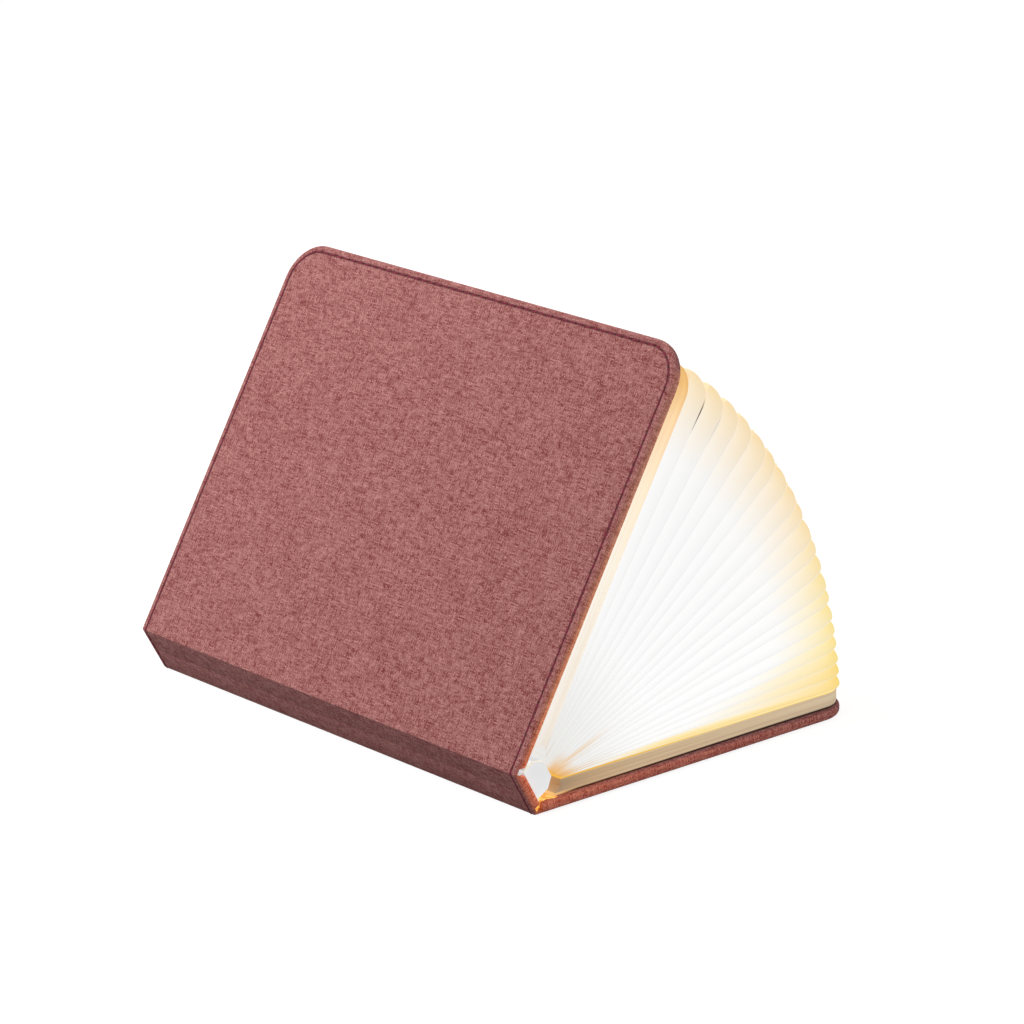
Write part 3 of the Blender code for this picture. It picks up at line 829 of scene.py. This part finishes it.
def board_material():
    """Grey board of pressed fibres."""
    made, n, shader = new_material("Grey board")
    fibre = n.noise(n.stretched(n.place(), 0.35, 1, 3), 1100, 4, 0.65)
    base = n.mix(fibre, (0.24, 0.22, 0.18), (0.52, 0.48, 0.40))
    n.dress(shader, Base_Color=base, Roughness=0.92, Normal=n.bump(fibre, 0.08 * MM))
    return made


def metal_material():
    """Brushed nickel plate."""
    made, n, shader = new_material("Nickel plate")
    brushed = n.noise(n.stretched(n.place(), 0.2, 1), 3000, 2)
    base = n.mix(brushed, (0.50, 0.50, 0.51), (0.74, 0.74, 0.75))
    n.dress(shader, Base_Color=base, Metallic=1.0, Roughness=n.between(brushed, 0.2, 0.8, 0.18, 0.34))
    return made


def circuit_material():
    """Green lacquered board with darker copper runs."""
    made, n, shader = new_material("Circuit board")
    cells = n.add("ShaderNodeTexVoronoi", feature="DISTANCE_TO_EDGE", distance="MANHATTAN")
    runs = n.between(n.dress(cells, Vector=n.place(), Scale=420)[0], 0.04, 0.10)
    base = n.mix(runs, (0.05, 0.26, 0.09), (0.012, 0.10, 0.035))
    n.dress(shader, Base_Color=base, Roughness=0.35, Normal=n.bump(runs, 0.03 * MM))
    return made


def shared(name, make):
    """A material that is made on first use."""
    return bpy.data.materials.get(name) or make()


def finish_with(piece, *materials):
    piece.data.materials.clear()
    for made in materials:
        piece.data.materials.append(made)


def write_flat_map(piece, side):
    """Map the cloth flat, with its edges laid out beside the face."""
    mesh = piece.data
    layer = flat_layer(mesh)
    for face in mesh.polygons:
        normal = face.normal
        for corner in face.loop_indices:
            place = mesh.vertices[mesh.loops[corner].vertex_index].co
            depth = place.z + half_cover
            layer.data[corner].uv = (place.x + normal.x * depth, side * (place.y + normal.y * depth))


def write_glow(piece, side):
    """How strongly the lit pages tint the cloth, most by the spine; below zero the inside lies in shade."""
    hem = 1.55 * MM
    spine_light = 60 * MM
    layer = piece.data.attributes.new("glow", "FLOAT", "POINT")
    for vert in piece.data.vertices:
        x, v, z = vert.co
        raised = min(1.0, max(0.0, (z + half_cover) / (2 * half_cover)))
        by_spine = max(0.0, 1 - v / spine_light)
        far = min(1.0, v / flat_reach)
        at_end = 1.0 if abs(x) > half_length - hem else 0.0
        at_fore_edge = 0.4 if v > flat_reach - hem else 0.0
        if v < cover_start:
            level = 0.25 + 0.75 * raised
        elif side > 0:
            level = 0.06 + 0.2 * far + 1.4 * by_spine * raised + (0.94 - 0.2 * far) * raised**3
        else:
            level = 0.10 + (0.2 + 0.6 * raised) * by_spine**2
        level *= max(at_end, at_fore_edge) * min(1.0, raised / 0.12)
        # On the turned-in top: painted light at the front; at the back painted shade, turning to painted
        # light by the spine.
        if raised > 0.9:
            level = max(level, 0.6 + 0.3 * by_spine) if side > 0 else 1.5 * by_spine**3 - 0.35
        layer.data[vert.index].value = min(level, 1.0)


def board_gap():
    """From the spine's board to the cover's board, across a crease of the flat work."""
    return half_spine - book().crease_setback, cover_start + book().crease_setback


def crease_groove(side):
    """What is cut out of the cloth in a crease, with sides that flare towards the inside."""
    near, far = board_gap()
    middle = (near + far) / 2
    low = -half_cover + book().cloth_wall
    flare_low = half_cover - 0.5 * MM if side < 0 else low + 0.2 * MM
    slope = 1.0 if side < 0 else 0.55
    deselect()
    bpy.ops.mesh.primitive_cube_add(size=1, location=(0, middle, low + half_cover))
    groove = named("groove")
    groove.scale = (2.4 * half_length, far - near, 2 * half_cover)
    settle()
    bpy.ops.object.mode_set(mode="EDIT")
    slice_at((0, 0, flare_low), (0, 0, 1))
    bpy.ops.object.mode_set(mode="OBJECT")
    for vert in groove.data.vertices:
        if vert.co.z > flare_low + MM / 10:
            vert.co.y += slope * math.copysign(vert.co.z - flare_low, vert.co.y - middle)
    return groove


def make_cloth(side, name):
    """One half of the case cloth, from the spine's middle over a crease and a cover to the fore-edge."""
    sizes = book()
    steps = 6
    board_lap = 0.4 * MM
    piece = rounded_plate(name, half_length, 0, flat_reach, sizes.corner_radius, -half_cover, half_cover)
    pick(piece, "EDGE", lambda a, b: abs(a.z - b.z) < hair and max(a.y, b.y) > hair)
    bpy.ops.mesh.bevel(offset=sizes.edge_round, segments=5, affect="EDGES")
    for i in range(-1, steps + 2):
        slice_at((0, half_spine + crease_arc * i / steps, 0), (0, 1, 0))
    bpy.ops.object.mode_set(mode="OBJECT")
    cut_with(piece, crease_groove(side))
    window = rounded_plate(
        "window",
        half_length - sizes.turn_in,
        board_gap()[1] + board_lap,
        flat_reach - sizes.turn_in,
        sizes.corner_radius - sizes.turn_in,
        half_cover - sizes.turned_cloth,
        half_cover + MM,
    )
    bpy.ops.object.mode_set(mode="OBJECT")
    cut_with(piece, window)
    soften(piece, 0.22 * MM, 2, 55)
    write_flat_map(piece, side)
    write_glow(piece, side)
    fold_piece(piece, side)
    finish_with(piece, shared("Cover cloth", cloth_material))
    smooth(piece, 35)
    bend_with_crease(piece, side)
    return piece


def stitch_places():
    """Middle and direction of each stitch of one half, on the flat cloth, and the length of one."""
    sizes = book()
    corner = sizes.corner_radius - sizes.stitch_inset
    wide = half_length - sizes.stitch_inset
    high = flat_reach - sizes.stitch_inset
    inner = wide - corner
    top = high - corner
    legs = [top, corner * math.pi / 2, 2 * inner, corner * math.pi / 2, top]
    count = round(sum(legs) / sizes.stitch_pitch)
    places = []
    for i in range(count):
        run = (i + 0.5) * sum(legs) / count
        leg = 0
        while run > legs[leg]:
            run -= legs[leg]
            leg += 1
        turn = run / corner
        along = corner * math.cos(turn)
        beside = corner * math.sin(turn)
        on_leg = [
            (wide, run, math.pi / 2),
            (inner + along, top + beside, turn + math.pi / 2),
            (inner - run, high, math.pi),
            (-inner - beside, top + along, turn + math.pi),
            (-wide, top - run, 3 * math.pi / 2),
        ]
        places.append(on_leg[leg])
    return places, sum(legs) / count


def make_stitches(side, name):
    """Topstitching along one half of the cloth: one stitch, copied along its line."""
    half_stitch = 0.41
    proud = 0.12
    slant = math.radians(4)
    radius = book().thread_radius
    places, pitch = stitch_places()
    deselect()
    bpy.ops.mesh.primitive_uv_sphere_add(
        segments=8, ring_count=7, radius=1, location=(0, 0, 0), rotation=(0, math.pi / 2, 0)
    )
    first = named("stitch")
    first.scale = (radius, radius, pitch * half_stitch)
    settle()
    copies = []
    for i, (x, v, turn) in enumerate(places):
        copied = bpy.data.objects.new(f"stitch_{i}", first.data.copy())
        lift = Matrix.Translation((x, v, -half_cover - radius * proud))
        copied.data.transform(lift @ Matrix.Rotation(turn + slant, 4, "Z"))
        bpy.context.scene.collection.objects.link(copied)
        copies.append(copied)
    bpy.data.objects.remove(first, do_unlink=True)
    deselect()
    for copied in copies:
        copied.select_set(True)
    bpy.context.view_layer.objects.active = copies[0]
    bpy.ops.object.join()
    piece = named(name)
    fold_piece(piece, side)
    finish_with(piece, shared("Sewing thread", thread_material))
    smooth(piece, 80)
    bend_with_crease(piece, side)
    return piece


def seam_share(k):
    """Share of the opening at the k-th seam between loops."""
    step = k + fan().uneven * math.sin(2.4 * k) * math.sin(math.pi * k / fan().loops)
    place = step / fan().loops
    return (1 - fan().crowding) * place + fan().crowding * place * place


def seam_offset(share):
    """How far a leaf stands off its axis, so that it clears the blocks."""
    block_gap = 0.5 * MM
    clear = half_cover + block_gap + fan().block
    return clear * (1 - share) - clear * share


def leaf_length(share):
    """Nominal length of a leaf from the spine's axes, at a share of the opening."""
    return cover_reach - fan().edge_inset - fan().draw_in * share**2


def loop_width(seam):
    """Width of the opening that one loop takes at a seam."""
    even = (1 - fan().crowding + 2 * fan().crowding * seam / fan().loops) / fan().loops
    return even * (opening * cover_reach + axis_spacing)


def seam_end(seam):
    """Run at which both leaves at a seam turn into their folds."""
    return leaf_length(seam_share(seam)) + loop_width(seam) * (0.25 - fan().fold)


def leaf_ways(share):
    """Foot, direction and upward normal of the leaf at a share of the opening."""
    turn = share * opening
    along = Vector((0, math.cos(turn), math.sin(turn)))
    above = Vector((0, -math.sin(turn), math.cos(turn)))
    return back_axis + spine_up * axis_spacing * share, along, above


def leaf_place(share, run, shift):
    """A point of a leaf, which bows a little."""
    bow = 0.35 * MM * math.sin(37 * share) * math.sin(math.pi * run / leaf_length(share))
    foot, along, above = leaf_ways(share)
    return foot + along * run + above * (seam_offset(share) + shift + bow)


def half_gap(seam, back):
    """Half the gap at a seam between loops, this far back from the folds: the front ones gape a little."""
    closed = 0.04 * MM
    slit_start = 5 * MM
    slit_length = 12 * MM
    gape = {fan().loops: 0.8, fan().loops - 1: 1.0, fan().loops - 2: 0.7}.get(seam, 0.0)
    place = (back - slit_start) / slit_length
    lens = math.sin(math.pi * place) if 0 < place < 1 else 0.0
    return closed + fan().slit * gape * lens


def loop_rows(k):
    """Rows of a folded sheet, each a place in Y and Z, a run along the leaf and a share across the loop."""
    straight_rows = 13
    corner_rows = 4
    fold_rows = 16
    deep = fan().fold * (loop_width(k - 1) + loop_width(k)) / 2
    tip = (seam_end(k - 1) + seam_end(k)) / 2 + deep
    knee = tip - fan().corner
    sides = []
    for seam, way in ((k - 1, 1), (k, -1)):
        end = seam_end(seam)
        share = seam_share(seam)
        runs = [fan().start + (knee - fan().start) * i / straight_rows for i in range(straight_rows + 1)]
        runs += [knee + (end - knee) * i / corner_rows for i in range(1, corner_rows + 1)]
        places = [leaf_place(share, run, way * half_gap(seam, tip - run)) for run in runs]
        sides.append([(place, run, (1 - way) / 2) for place, run in zip(places, runs)])
    lower, upper = sides
    low_end = lower[-1][0]
    high_end = upper[-1][0]
    out = leaf_ways((seam_share(k - 1) + seam_share(k)) / 2)[1]
    fold = []
    for i in range(1, fold_rows):
        turn = math.pi * i / fold_rows
        across = 0.5 - 0.5 * math.cos(turn)
        rise = deep * math.sin(turn) ** 1.6
        fold.append((low_end.lerp(high_end, across) + out * rise, tip - deep + rise, across))
    return lower + fold + upper[::-1], tip


def grid_row(point, rows):
    """Number of the row that a point of an even grid is in."""
    return round((point.y + 0.5) * (len(rows) - 1))


def make_loop(k):
    """One paper loop: a sheet folded at the fore-edge, open at head and tail, with round corners."""
    ripple_height = 0.16 * MM
    inside_width = 16 * MM
    low = seam_share(k - 1)
    high = seam_share(k)
    rows, tip = loop_rows(k)
    deselect()
    bpy.ops.mesh.primitive_grid_add(x_subdivisions=28, y_subdivisions=len(rows) - 1, size=1)
    piece = named(f"paper_loop_{k:02d}")
    mesh = piece.data
    values = ("depth", "share", "inside")
    depth, share, inside = (mesh.attributes.new(name, "FLOAT", "POINT") for name in values)
    half = half_length - fan().end_inset
    corner = fan().corner
    cut = fan().corner_across
    above = leaf_ways((low + high) / 2)[2]
    for vert in mesh.vertices:
        place, run, across = rows[grid_row(vert.co, rows)]
        past = max(0.0, run - (tip - corner)) / corner
        reach = half - cut + cut * math.sqrt(max(0.0, 1 - past**2))
        x = reach * math.copysign(abs(vert.co.x * 2) ** 0.42, vert.co.x)
        ripple = ripple_height * math.sin(k * 2.1 + x * 48) * min(1.0, run / (0.6 * tip))
        vert.co = place + above * ripple * math.sin(math.pi * across) + Vector((x, 0, 0))
        depth.data[vert.index].value = run / tip
        share.data[vert.index].value = low + (high - low) * across
        inside.data[vert.index].value = (reach - abs(x)) / inside_width
    mesh.update()
    finish_with(
        piece,
        shared("Lit paper", paper_material),
        shared("Paper edge", paper_edge_material),
        shared("Paper outside", paper_outside_material),
    )
    wall = piece.modifiers.new("Paper", "SOLIDIFY")
    wall.thickness = fan().paper
    wall.offset = 0
    wall.use_rim = True
    wall.material_offset_rim = 1
    wall.material_offset = 2
    finish_modifiers(piece)
    smooth(piece, 50)
    spread_loop(piece)
    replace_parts(piece, f"page_loop_{k:02d}")
    length = sum((b[0] - a[0]).length for a, b in zip(rows, rows[1:]))
    return piece, length


def spread_loop(piece):
    """Put the loop's place, turn and scale into its mesh."""
    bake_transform(piece)


def make_block(side, name, node, body, end_inset, edge_inset):
    """Pressed pages on the inside of a cover, sloped at the spine end to clear the core."""
    slope = 1.2
    slope_height = 3 * MM
    wave_height = 0.12 * MM
    plain_end = 20 * MM
    thickness = fan().block
    end = half_length - end_inset
    start = cover_start + fan().block_start
    piece = rounded_plate(name, end, start, flat_reach - edge_inset, fan().corner, seat, seat + thickness)
    pick(piece, "EDGE", lambda a, b: abs(a.z - b.z) < hair and min(a.z, b.z) > seat + hair)
    bpy.ops.mesh.bevel(offset=0.35 * MM, segments=2, affect="EDGES")
    for i in range(1, 6):
        slice_at((0, 0, seat + thickness * i / 6), (0, 0, 1))
    for i in range(1, 12):
        slice_at((0, start + (cover_reach - plain_end) * i / 12, 0), (0, 1, 0))
    bpy.ops.object.mode_set(mode="OBJECT")
    mesh = piece.data
    layer = flat_layer(mesh)
    depth = mesh.attributes.new("depth", "FLOAT", "POINT")
    for corner in mesh.loops:
        place = mesh.vertices[corner.vertex_index].co
        layer.data[corner.index].uv = (place.x + place.y, (place.z - seat) / thickness)
    for vert in mesh.vertices:
        depth.data[vert.index].value = (vert.co.y - start) / (flat_reach - start)
        if vert.co.y < start + 0.5 * MM:
            vert.co.y += slope * min(vert.co.z - seat, slope_height)
        if abs(vert.co.x) > end - 1.2 * MM:
            vert.co.x += math.sin(vert.co.y * 47 + side) * wave_height
    mesh.update()
    fold_piece(piece, side)
    finish_with(piece, block_material(name.replace("_", " ").capitalize(), side))
    smooth(piece, 40)
    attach(piece, body)
    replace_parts(piece, node)
    return piece


def lining_profile():
    """Section of a crease lining as (v, z), from under the core to the cover."""
    near, far = board_gap()
    top = half_cover + 0.14 * MM
    shoulder = top - 0.5 * MM
    foot = 0.3 * MM
    deep = -half_cover + book().cloth_wall + 0.22 * MM
    lap_start = far + 0.1 * MM
    profile = [(near - 2.4 * MM, top), (near - 1.2 * MM, top), (near - 0.1 * MM, top)]
    profile += [(near + 0.25 * MM, shoulder), (near + 0.3 * MM, foot)]
    profile += [(half_spine + crease_arc * i / 6, deep) for i in range(7)]
    profile += [(far - 0.3 * MM, foot), (far - 0.25 * MM, shoulder)]
    return profile + [(lap_start + book().lining_lap * i / 9, top) for i in range(10)]


def make_crease_lining(side, name, node):
    """Lining cloth that lies on the cover, dips into the crease and goes under the core."""
    drawn_in = 0.0 if side < 0 else 5 * MM
    pucker_start = board_gap()[1]
    pucker_middle = pucker_start + 2.5 * MM
    pucker_reach = 4.5 * MM
    half = half_length - 1.3 * MM
    profile = lining_profile()
    run = [0.0]
    for a, b in zip(profile, profile[1:]):
        run.append(run[-1] + math.dist(a, b))
    deselect()
    bpy.ops.mesh.primitive_grid_add(x_subdivisions=150, y_subdivisions=len(profile) - 1, size=1)
    piece = named(name)
    mesh = piece.data
    layer = flat_layer(mesh)
    for corner in mesh.loops:
        place = mesh.vertices[corner.vertex_index].co
        layer.data[corner.index].uv = (place.x * 2 * half, run[grid_row(place, profile)])
    for vert in mesh.vertices:
        v, z = profile[grid_row(vert.co, profile)]
        x = vert.co.x * 2 * (half if z > 0.2 * MM else half - drawn_in)
        loose = max(0.0, 1 - abs(v - pucker_middle) / pucker_reach) if v > pucker_start else 0.0
        pucker = math.sin(x * 900) * 0.4 + math.sin(x * 410 + v * 900) * 0.6
        sway = 0.12 * MM * math.sin(x * 640)
        vert.co = (x, v + loose * sway, z + loose * (0.34 + 0.30 * pucker) * MM)
    fold_piece(piece, side)
    wall = piece.modifiers.new("Cloth", "SOLIDIFY")
    wall.thickness = book().lining_wall
    wall.offset = 0
    finish_modifiers(piece)
    finish_with(piece, crease_material(name.replace("_", " ").capitalize(), side))
    smooth(piece, 60)
    bend_with_crease(piece, side)
    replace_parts(piece, node)
    return piece


def core_outline():
    """Section of the core as (v, z)."""
    sizes = core()
    right = [
        (sizes.width / 2, seat),
        (sizes.width / 2, seat + sizes.side_height),
        (sizes.crown_width / 2, seat + sizes.height),
    ]
    return right + [(-v, z) for v, z in reversed(right)]


def faces_pages(face):
    """Whether a face of the cap is one that the pages light."""
    return abs(face.normal.x) < (0.95 if face.normal.y > 0.1 else 0.35)


def make_cap():
    """Head cap of the core: a dished plate with a raised rim."""
    corner_low, corner_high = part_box("core_cap_head")
    outline = core_outline()
    deselect()
    bpy.ops.mesh.primitive_circle_add(
        vertices=len(outline), radius=5 * MM, fill_type="NGON", rotation=(0, math.pi / 2, 0)
    )
    piece = named("core_end_cap")
    settle()
    mesh = piece.data
    plate = mesh.polygons[0]
    way = 1 if plate.normal.x > 0 else -1
    for vertex, (v, z) in zip(list(plate.vertices), outline[::way]):
        mesh.vertices[vertex].co = (corner_low[0], v, z)
    mesh.update()
    bpy.ops.object.mode_set(mode="EDIT")
    bpy.ops.mesh.select_all(action="SELECT")
    pull(x=corner_high[0] - corner_low[0])
    point_outwards()
    pick(piece, "FACE", lambda c, n: n.x > 0.9)
    bpy.ops.mesh.inset(thickness=core().rim)
    bpy.ops.mesh.inset(thickness=0.15 * MM, depth=-core().dish)
    bpy.ops.object.mode_set(mode="OBJECT")
    soften(piece, 0.3 * MM, 3, 40)
    mesh = piece.data
    for vert in mesh.vertices:
        x, v, z = vert.co
        vert.co = spine_middle + spine_up * v + spine_in * z + Vector((x, 0, 0))
    mesh.flip_normals()
    # Painted light: the shell glows pale grey as if lit by the pages round it, and the faces that the pages
    # light glow cream.
    finish_with(
        piece,
        moulded_material("Core shell", tuple(colours().shell), 0.42, (0.52, 0.53, 0.54), 0.7),
        moulded_material("Lit rim", (0.55, 0.52, 0.46), 0.4, (0.80, 0.74, 0.58), 0.6),
    )
    for face in mesh.polygons:
        face.material_index = int(faces_pages(face))
    smooth(piece, 35)
    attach(piece, "spine")
    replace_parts(piece, "core_cap_head")
    return piece


def finish_core_nodes():
    """Materials for the core's parts and for what lies hidden in the covers."""
    magnets = [f"{cover}_magnet_{end}" for cover in ("back", "front") for end in ("head", "tail")]
    diffuser = moulded_material("Frosted diffuser", (0.36, 0.37, 0.40), 0.45, (0.52, 0.53, 0.56), 0.7, 1500)
    given = {
        bpy.data.materials["Core shell"]: ["core_housing", "core_cap_tail"],
        diffuser: ["core_diffuser"],
        moulded_material("White board", (0.72, 0.72, 0.70), 0.4): ["led_board"],
        moulded_material("Battery wrap", (0.03, 0.09, 0.24), 0.35): ["battery_cell"],
        moulded_material("Black moulding", (0.02, 0.02, 0.022), 0.5): ["lid_sensor"],
        moulded_material("Clear pipe", (0.6, 0.66, 0.7), 0.12): ["charge_light"],
        circuit_material(): ["control_board"],
        board_material(): ["spine_board", "back_cover_board", "front_cover_board"],
        lining_material(): ["spine_lining", "back_cover_lining", "front_cover_lining"],
        metal_material(): ["charging_socket", "sensor_magnet", *magnets],
    }
    for made, names in given.items():
        for name in names:
            finish_with(frame["nodes"][name], made)


def seen_directly(n):
    """1 where a camera, glossy or transmission ray looks, and 0 for the light itself."""
    path = n.add("ShaderNodeLightPath").outputs
    seen = n.math("MAXIMUM", path["Is Camera Ray"], path["Is Glossy Ray"])
    return n.math("MAXIMUM", seen, path["Is Transmission Ray"])


def floor_material():
    """Pale floor that keeps the shadow and shows white to the camera."""
    made, n, shader = new_material("Pale floor")
    n.dress(
        shader,
        Base_Color=n.mix(n.noise(n.place(), 3, 2), (0.31, 0.31, 0.31), (0.35, 0.35, 0.35)),
        Emission_Color=n.mix(seen_directly(n), (0, 0, 0), (0.84, 0.84, 0.84)),
        Emission_Strength=1.0,
        Roughness=0.9,
        Specular_IOR_Level=0.1,
    )
    return made


def soft_world():
    """White surroundings to look at, which light the scene more weakly."""
    world = bpy.data.worlds.new("Soft studio")
    world.use_nodes = True
    world.node_tree.nodes.clear()
    n = Nodes(world.node_tree)
    out = n.add("ShaderNodeOutputWorld")
    strength = n.between(seen_directly(n), 0, 1, 0.29, 1.0)
    light = n.dress(n.add("ShaderNodeBackground"), Color=(1, 1, 1, 1), Strength=strength)
    n.link(light[0], out.inputs[0])
    return world


def add_light(name, place, size, power):
    """A round area light that points at the middle of the lamp."""
    middle = Vector((0, 0, 0.07))
    deselect()
    bpy.ops.object.light_add(type="AREA", location=place)
    light = bpy.context.active_object
    light.name = name
    light.data.shape = "DISK"
    light.data.size = size
    light.data.energy = power
    light.rotation_euler = (middle - Vector(place)).to_track_quat("-Z", "Y").to_euler()


def add_camera():
    """The photo's view, as fitted to its outlines."""
    place = (1.1792, -1.0536, 0.5620)
    right = Vector((0.6689, 0.7434, 0.0015))
    up = Vector((-0.2212, 0.1971, 0.9551))
    backwards = Vector((0.7097, -0.6392, 0.2963))
    deselect()
    bpy.ops.object.camera_add(location=(0, 0, 0))
    camera = bpy.context.active_object
    camera.name = "Camera"
    camera.matrix_world = Matrix.Translation(place) @ Matrix((right, up, backwards)).transposed().to_4x4()
    camera.data.sensor_width = 36
    camera.data.lens = 154.9
    return camera


def make_stage():
    """Floor, surroundings, lights and camera."""
    floor_size = 14
    floor_level = -0.2 * MM
    deselect()
    bpy.ops.mesh.primitive_plane_add(size=floor_size, location=(0, 0, floor_level))
    floor = named("floor")
    settle()
    finish_with(floor, floor_material())
    scene = bpy.context.scene
    scene.world = soft_world()
    add_light("Key light", (-0.60, -0.64, 1.0), 0.8, 14)
    add_light("Fill light", (1.9, 0.2, 1.1), 1.4, 13)
    scene.camera = add_camera()
    scene.view_settings.view_transform = "Standard"


class LAMP_OT_cloth(bpy.types.Operator):
    """Case cloth of both covers, folded at the creases"""

    bl_idname = "book_lamp.cloth"
    bl_label = "Case cloth"

    def execute(self, context):
        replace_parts(make_cloth(1, "front_cloth"), "front_cover_skin", "hinge_cloth_front", "spine_skin")
        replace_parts(make_cloth(-1, "back_cloth"), "back_cover_skin", "hinge_cloth_back")
        return {"FINISHED"}


class LAMP_OT_stitches(bpy.types.Operator):
    """Topstitching round the case"""

    bl_idname = "book_lamp.stitches"
    bl_label = "Topstitching"

    def execute(self, context):
        make_stitches(1, "front_stitches")
        make_stitches(-1, "back_stitches")
        return {"FINISHED"}


class LAMP_OT_blocks(bpy.types.Operator):
    """Pressed page blocks on both covers"""

    bl_idname = "book_lamp.blocks"
    bl_label = "Page blocks"

    def execute(self, context):
        back = (fan().end_inset, fan().block_inset)
        front = (fan().front_end_inset, fan().front_block_inset)
        make_block(-1, "back_pages", "back_page_block", "back_cover", *back)
        make_block(1, "front_pages", "front_page_block", "front_cover", *front)
        return {"FINISHED"}


class LAMP_OT_loops(bpy.types.Operator):
    """Fan of folded paper loops"""

    bl_idname = "book_lamp.loops"
    bl_label = "Paper loops"

    def execute(self, context):
        for k in range(1, fan().loops + 1):
            loop, length = make_loop(k)
        return {"FINISHED"}


class LAMP_OT_creases(bpy.types.Operator):
    """Lining cloth in both creases"""

    bl_idname = "book_lamp.creases"
    bl_label = "Crease linings"

    def execute(self, context):
        make_crease_lining(-1, "back_crease_lining", "hinge_lining_back")
        make_crease_lining(1, "front_crease_lining", "hinge_lining_front")
        return {"FINISHED"}


class LAMP_OT_core(bpy.types.Operator):
    """Core cap and the finish of the core and the hidden parts"""

    bl_idname = "book_lamp.core"
    bl_label = "Light core"

    def execute(self, context):
        make_cap()
        finish_core_nodes()
        return {"FINISHED"}


class LAMP_OT_stage(bpy.types.Operator):
    """Floor, soft lights and camera"""

    bl_idname = "book_lamp.stage"
    bl_label = "Stage"

    def execute(self, context):
        make_stage()
        return {"FINISHED"}


class LAMP_PT_panel(bpy.types.Panel):
    """Steps and sizes of the book lamp"""

    bl_label = "Book lamp"
    bl_idname = "LAMP_PT_panel"
    bl_space_type = "VIEW_3D"
    bl_region_type = "UI"
    bl_category = "Book lamp"

    def draw(self, context):
        for step in steps:
            self.layout.operator(step.bl_idname)
        for group in (book(), fan(), core(), colours()):
            box = self.layout.box()
            for name in group.__annotations__:
                box.prop(group, name)


settings = {
    "book_sizes": BookSizes,
    "fan_sizes": FanSizes,
    "core_sizes": CoreSizes,
    "lamp_colours": LampColours,
}
steps = (
    LAMP_OT_cloth,
    LAMP_OT_stitches,
    LAMP_OT_blocks,
    LAMP_OT_loops,
    LAMP_OT_creases,
    LAMP_OT_core,
    LAMP_OT_stage,
)
classes = (*settings.values(), *steps, LAMP_PT_panel)


def register():
    for made in classes:
        bpy.utils.register_class(made)
    for name, group in settings.items():
        setattr(bpy.types.Scene, name, bpy.props.PointerProperty(type=group))


def unregister():
    for name in settings:
        delattr(bpy.types.Scene, name)
    for made in reversed(classes):
        bpy.utils.unregister_class(made)


def main():
    register()
    bpy.ops.book_lamp.cloth()
    bpy.ops.book_lamp.stitches()
    bpy.ops.book_lamp.blocks()
    bpy.ops.book_lamp.loops()
    bpy.ops.book_lamp.creases()
    bpy.ops.book_lamp.core()
    bpy.ops.book_lamp.stage()


if __name__ == "__main__":
    main()
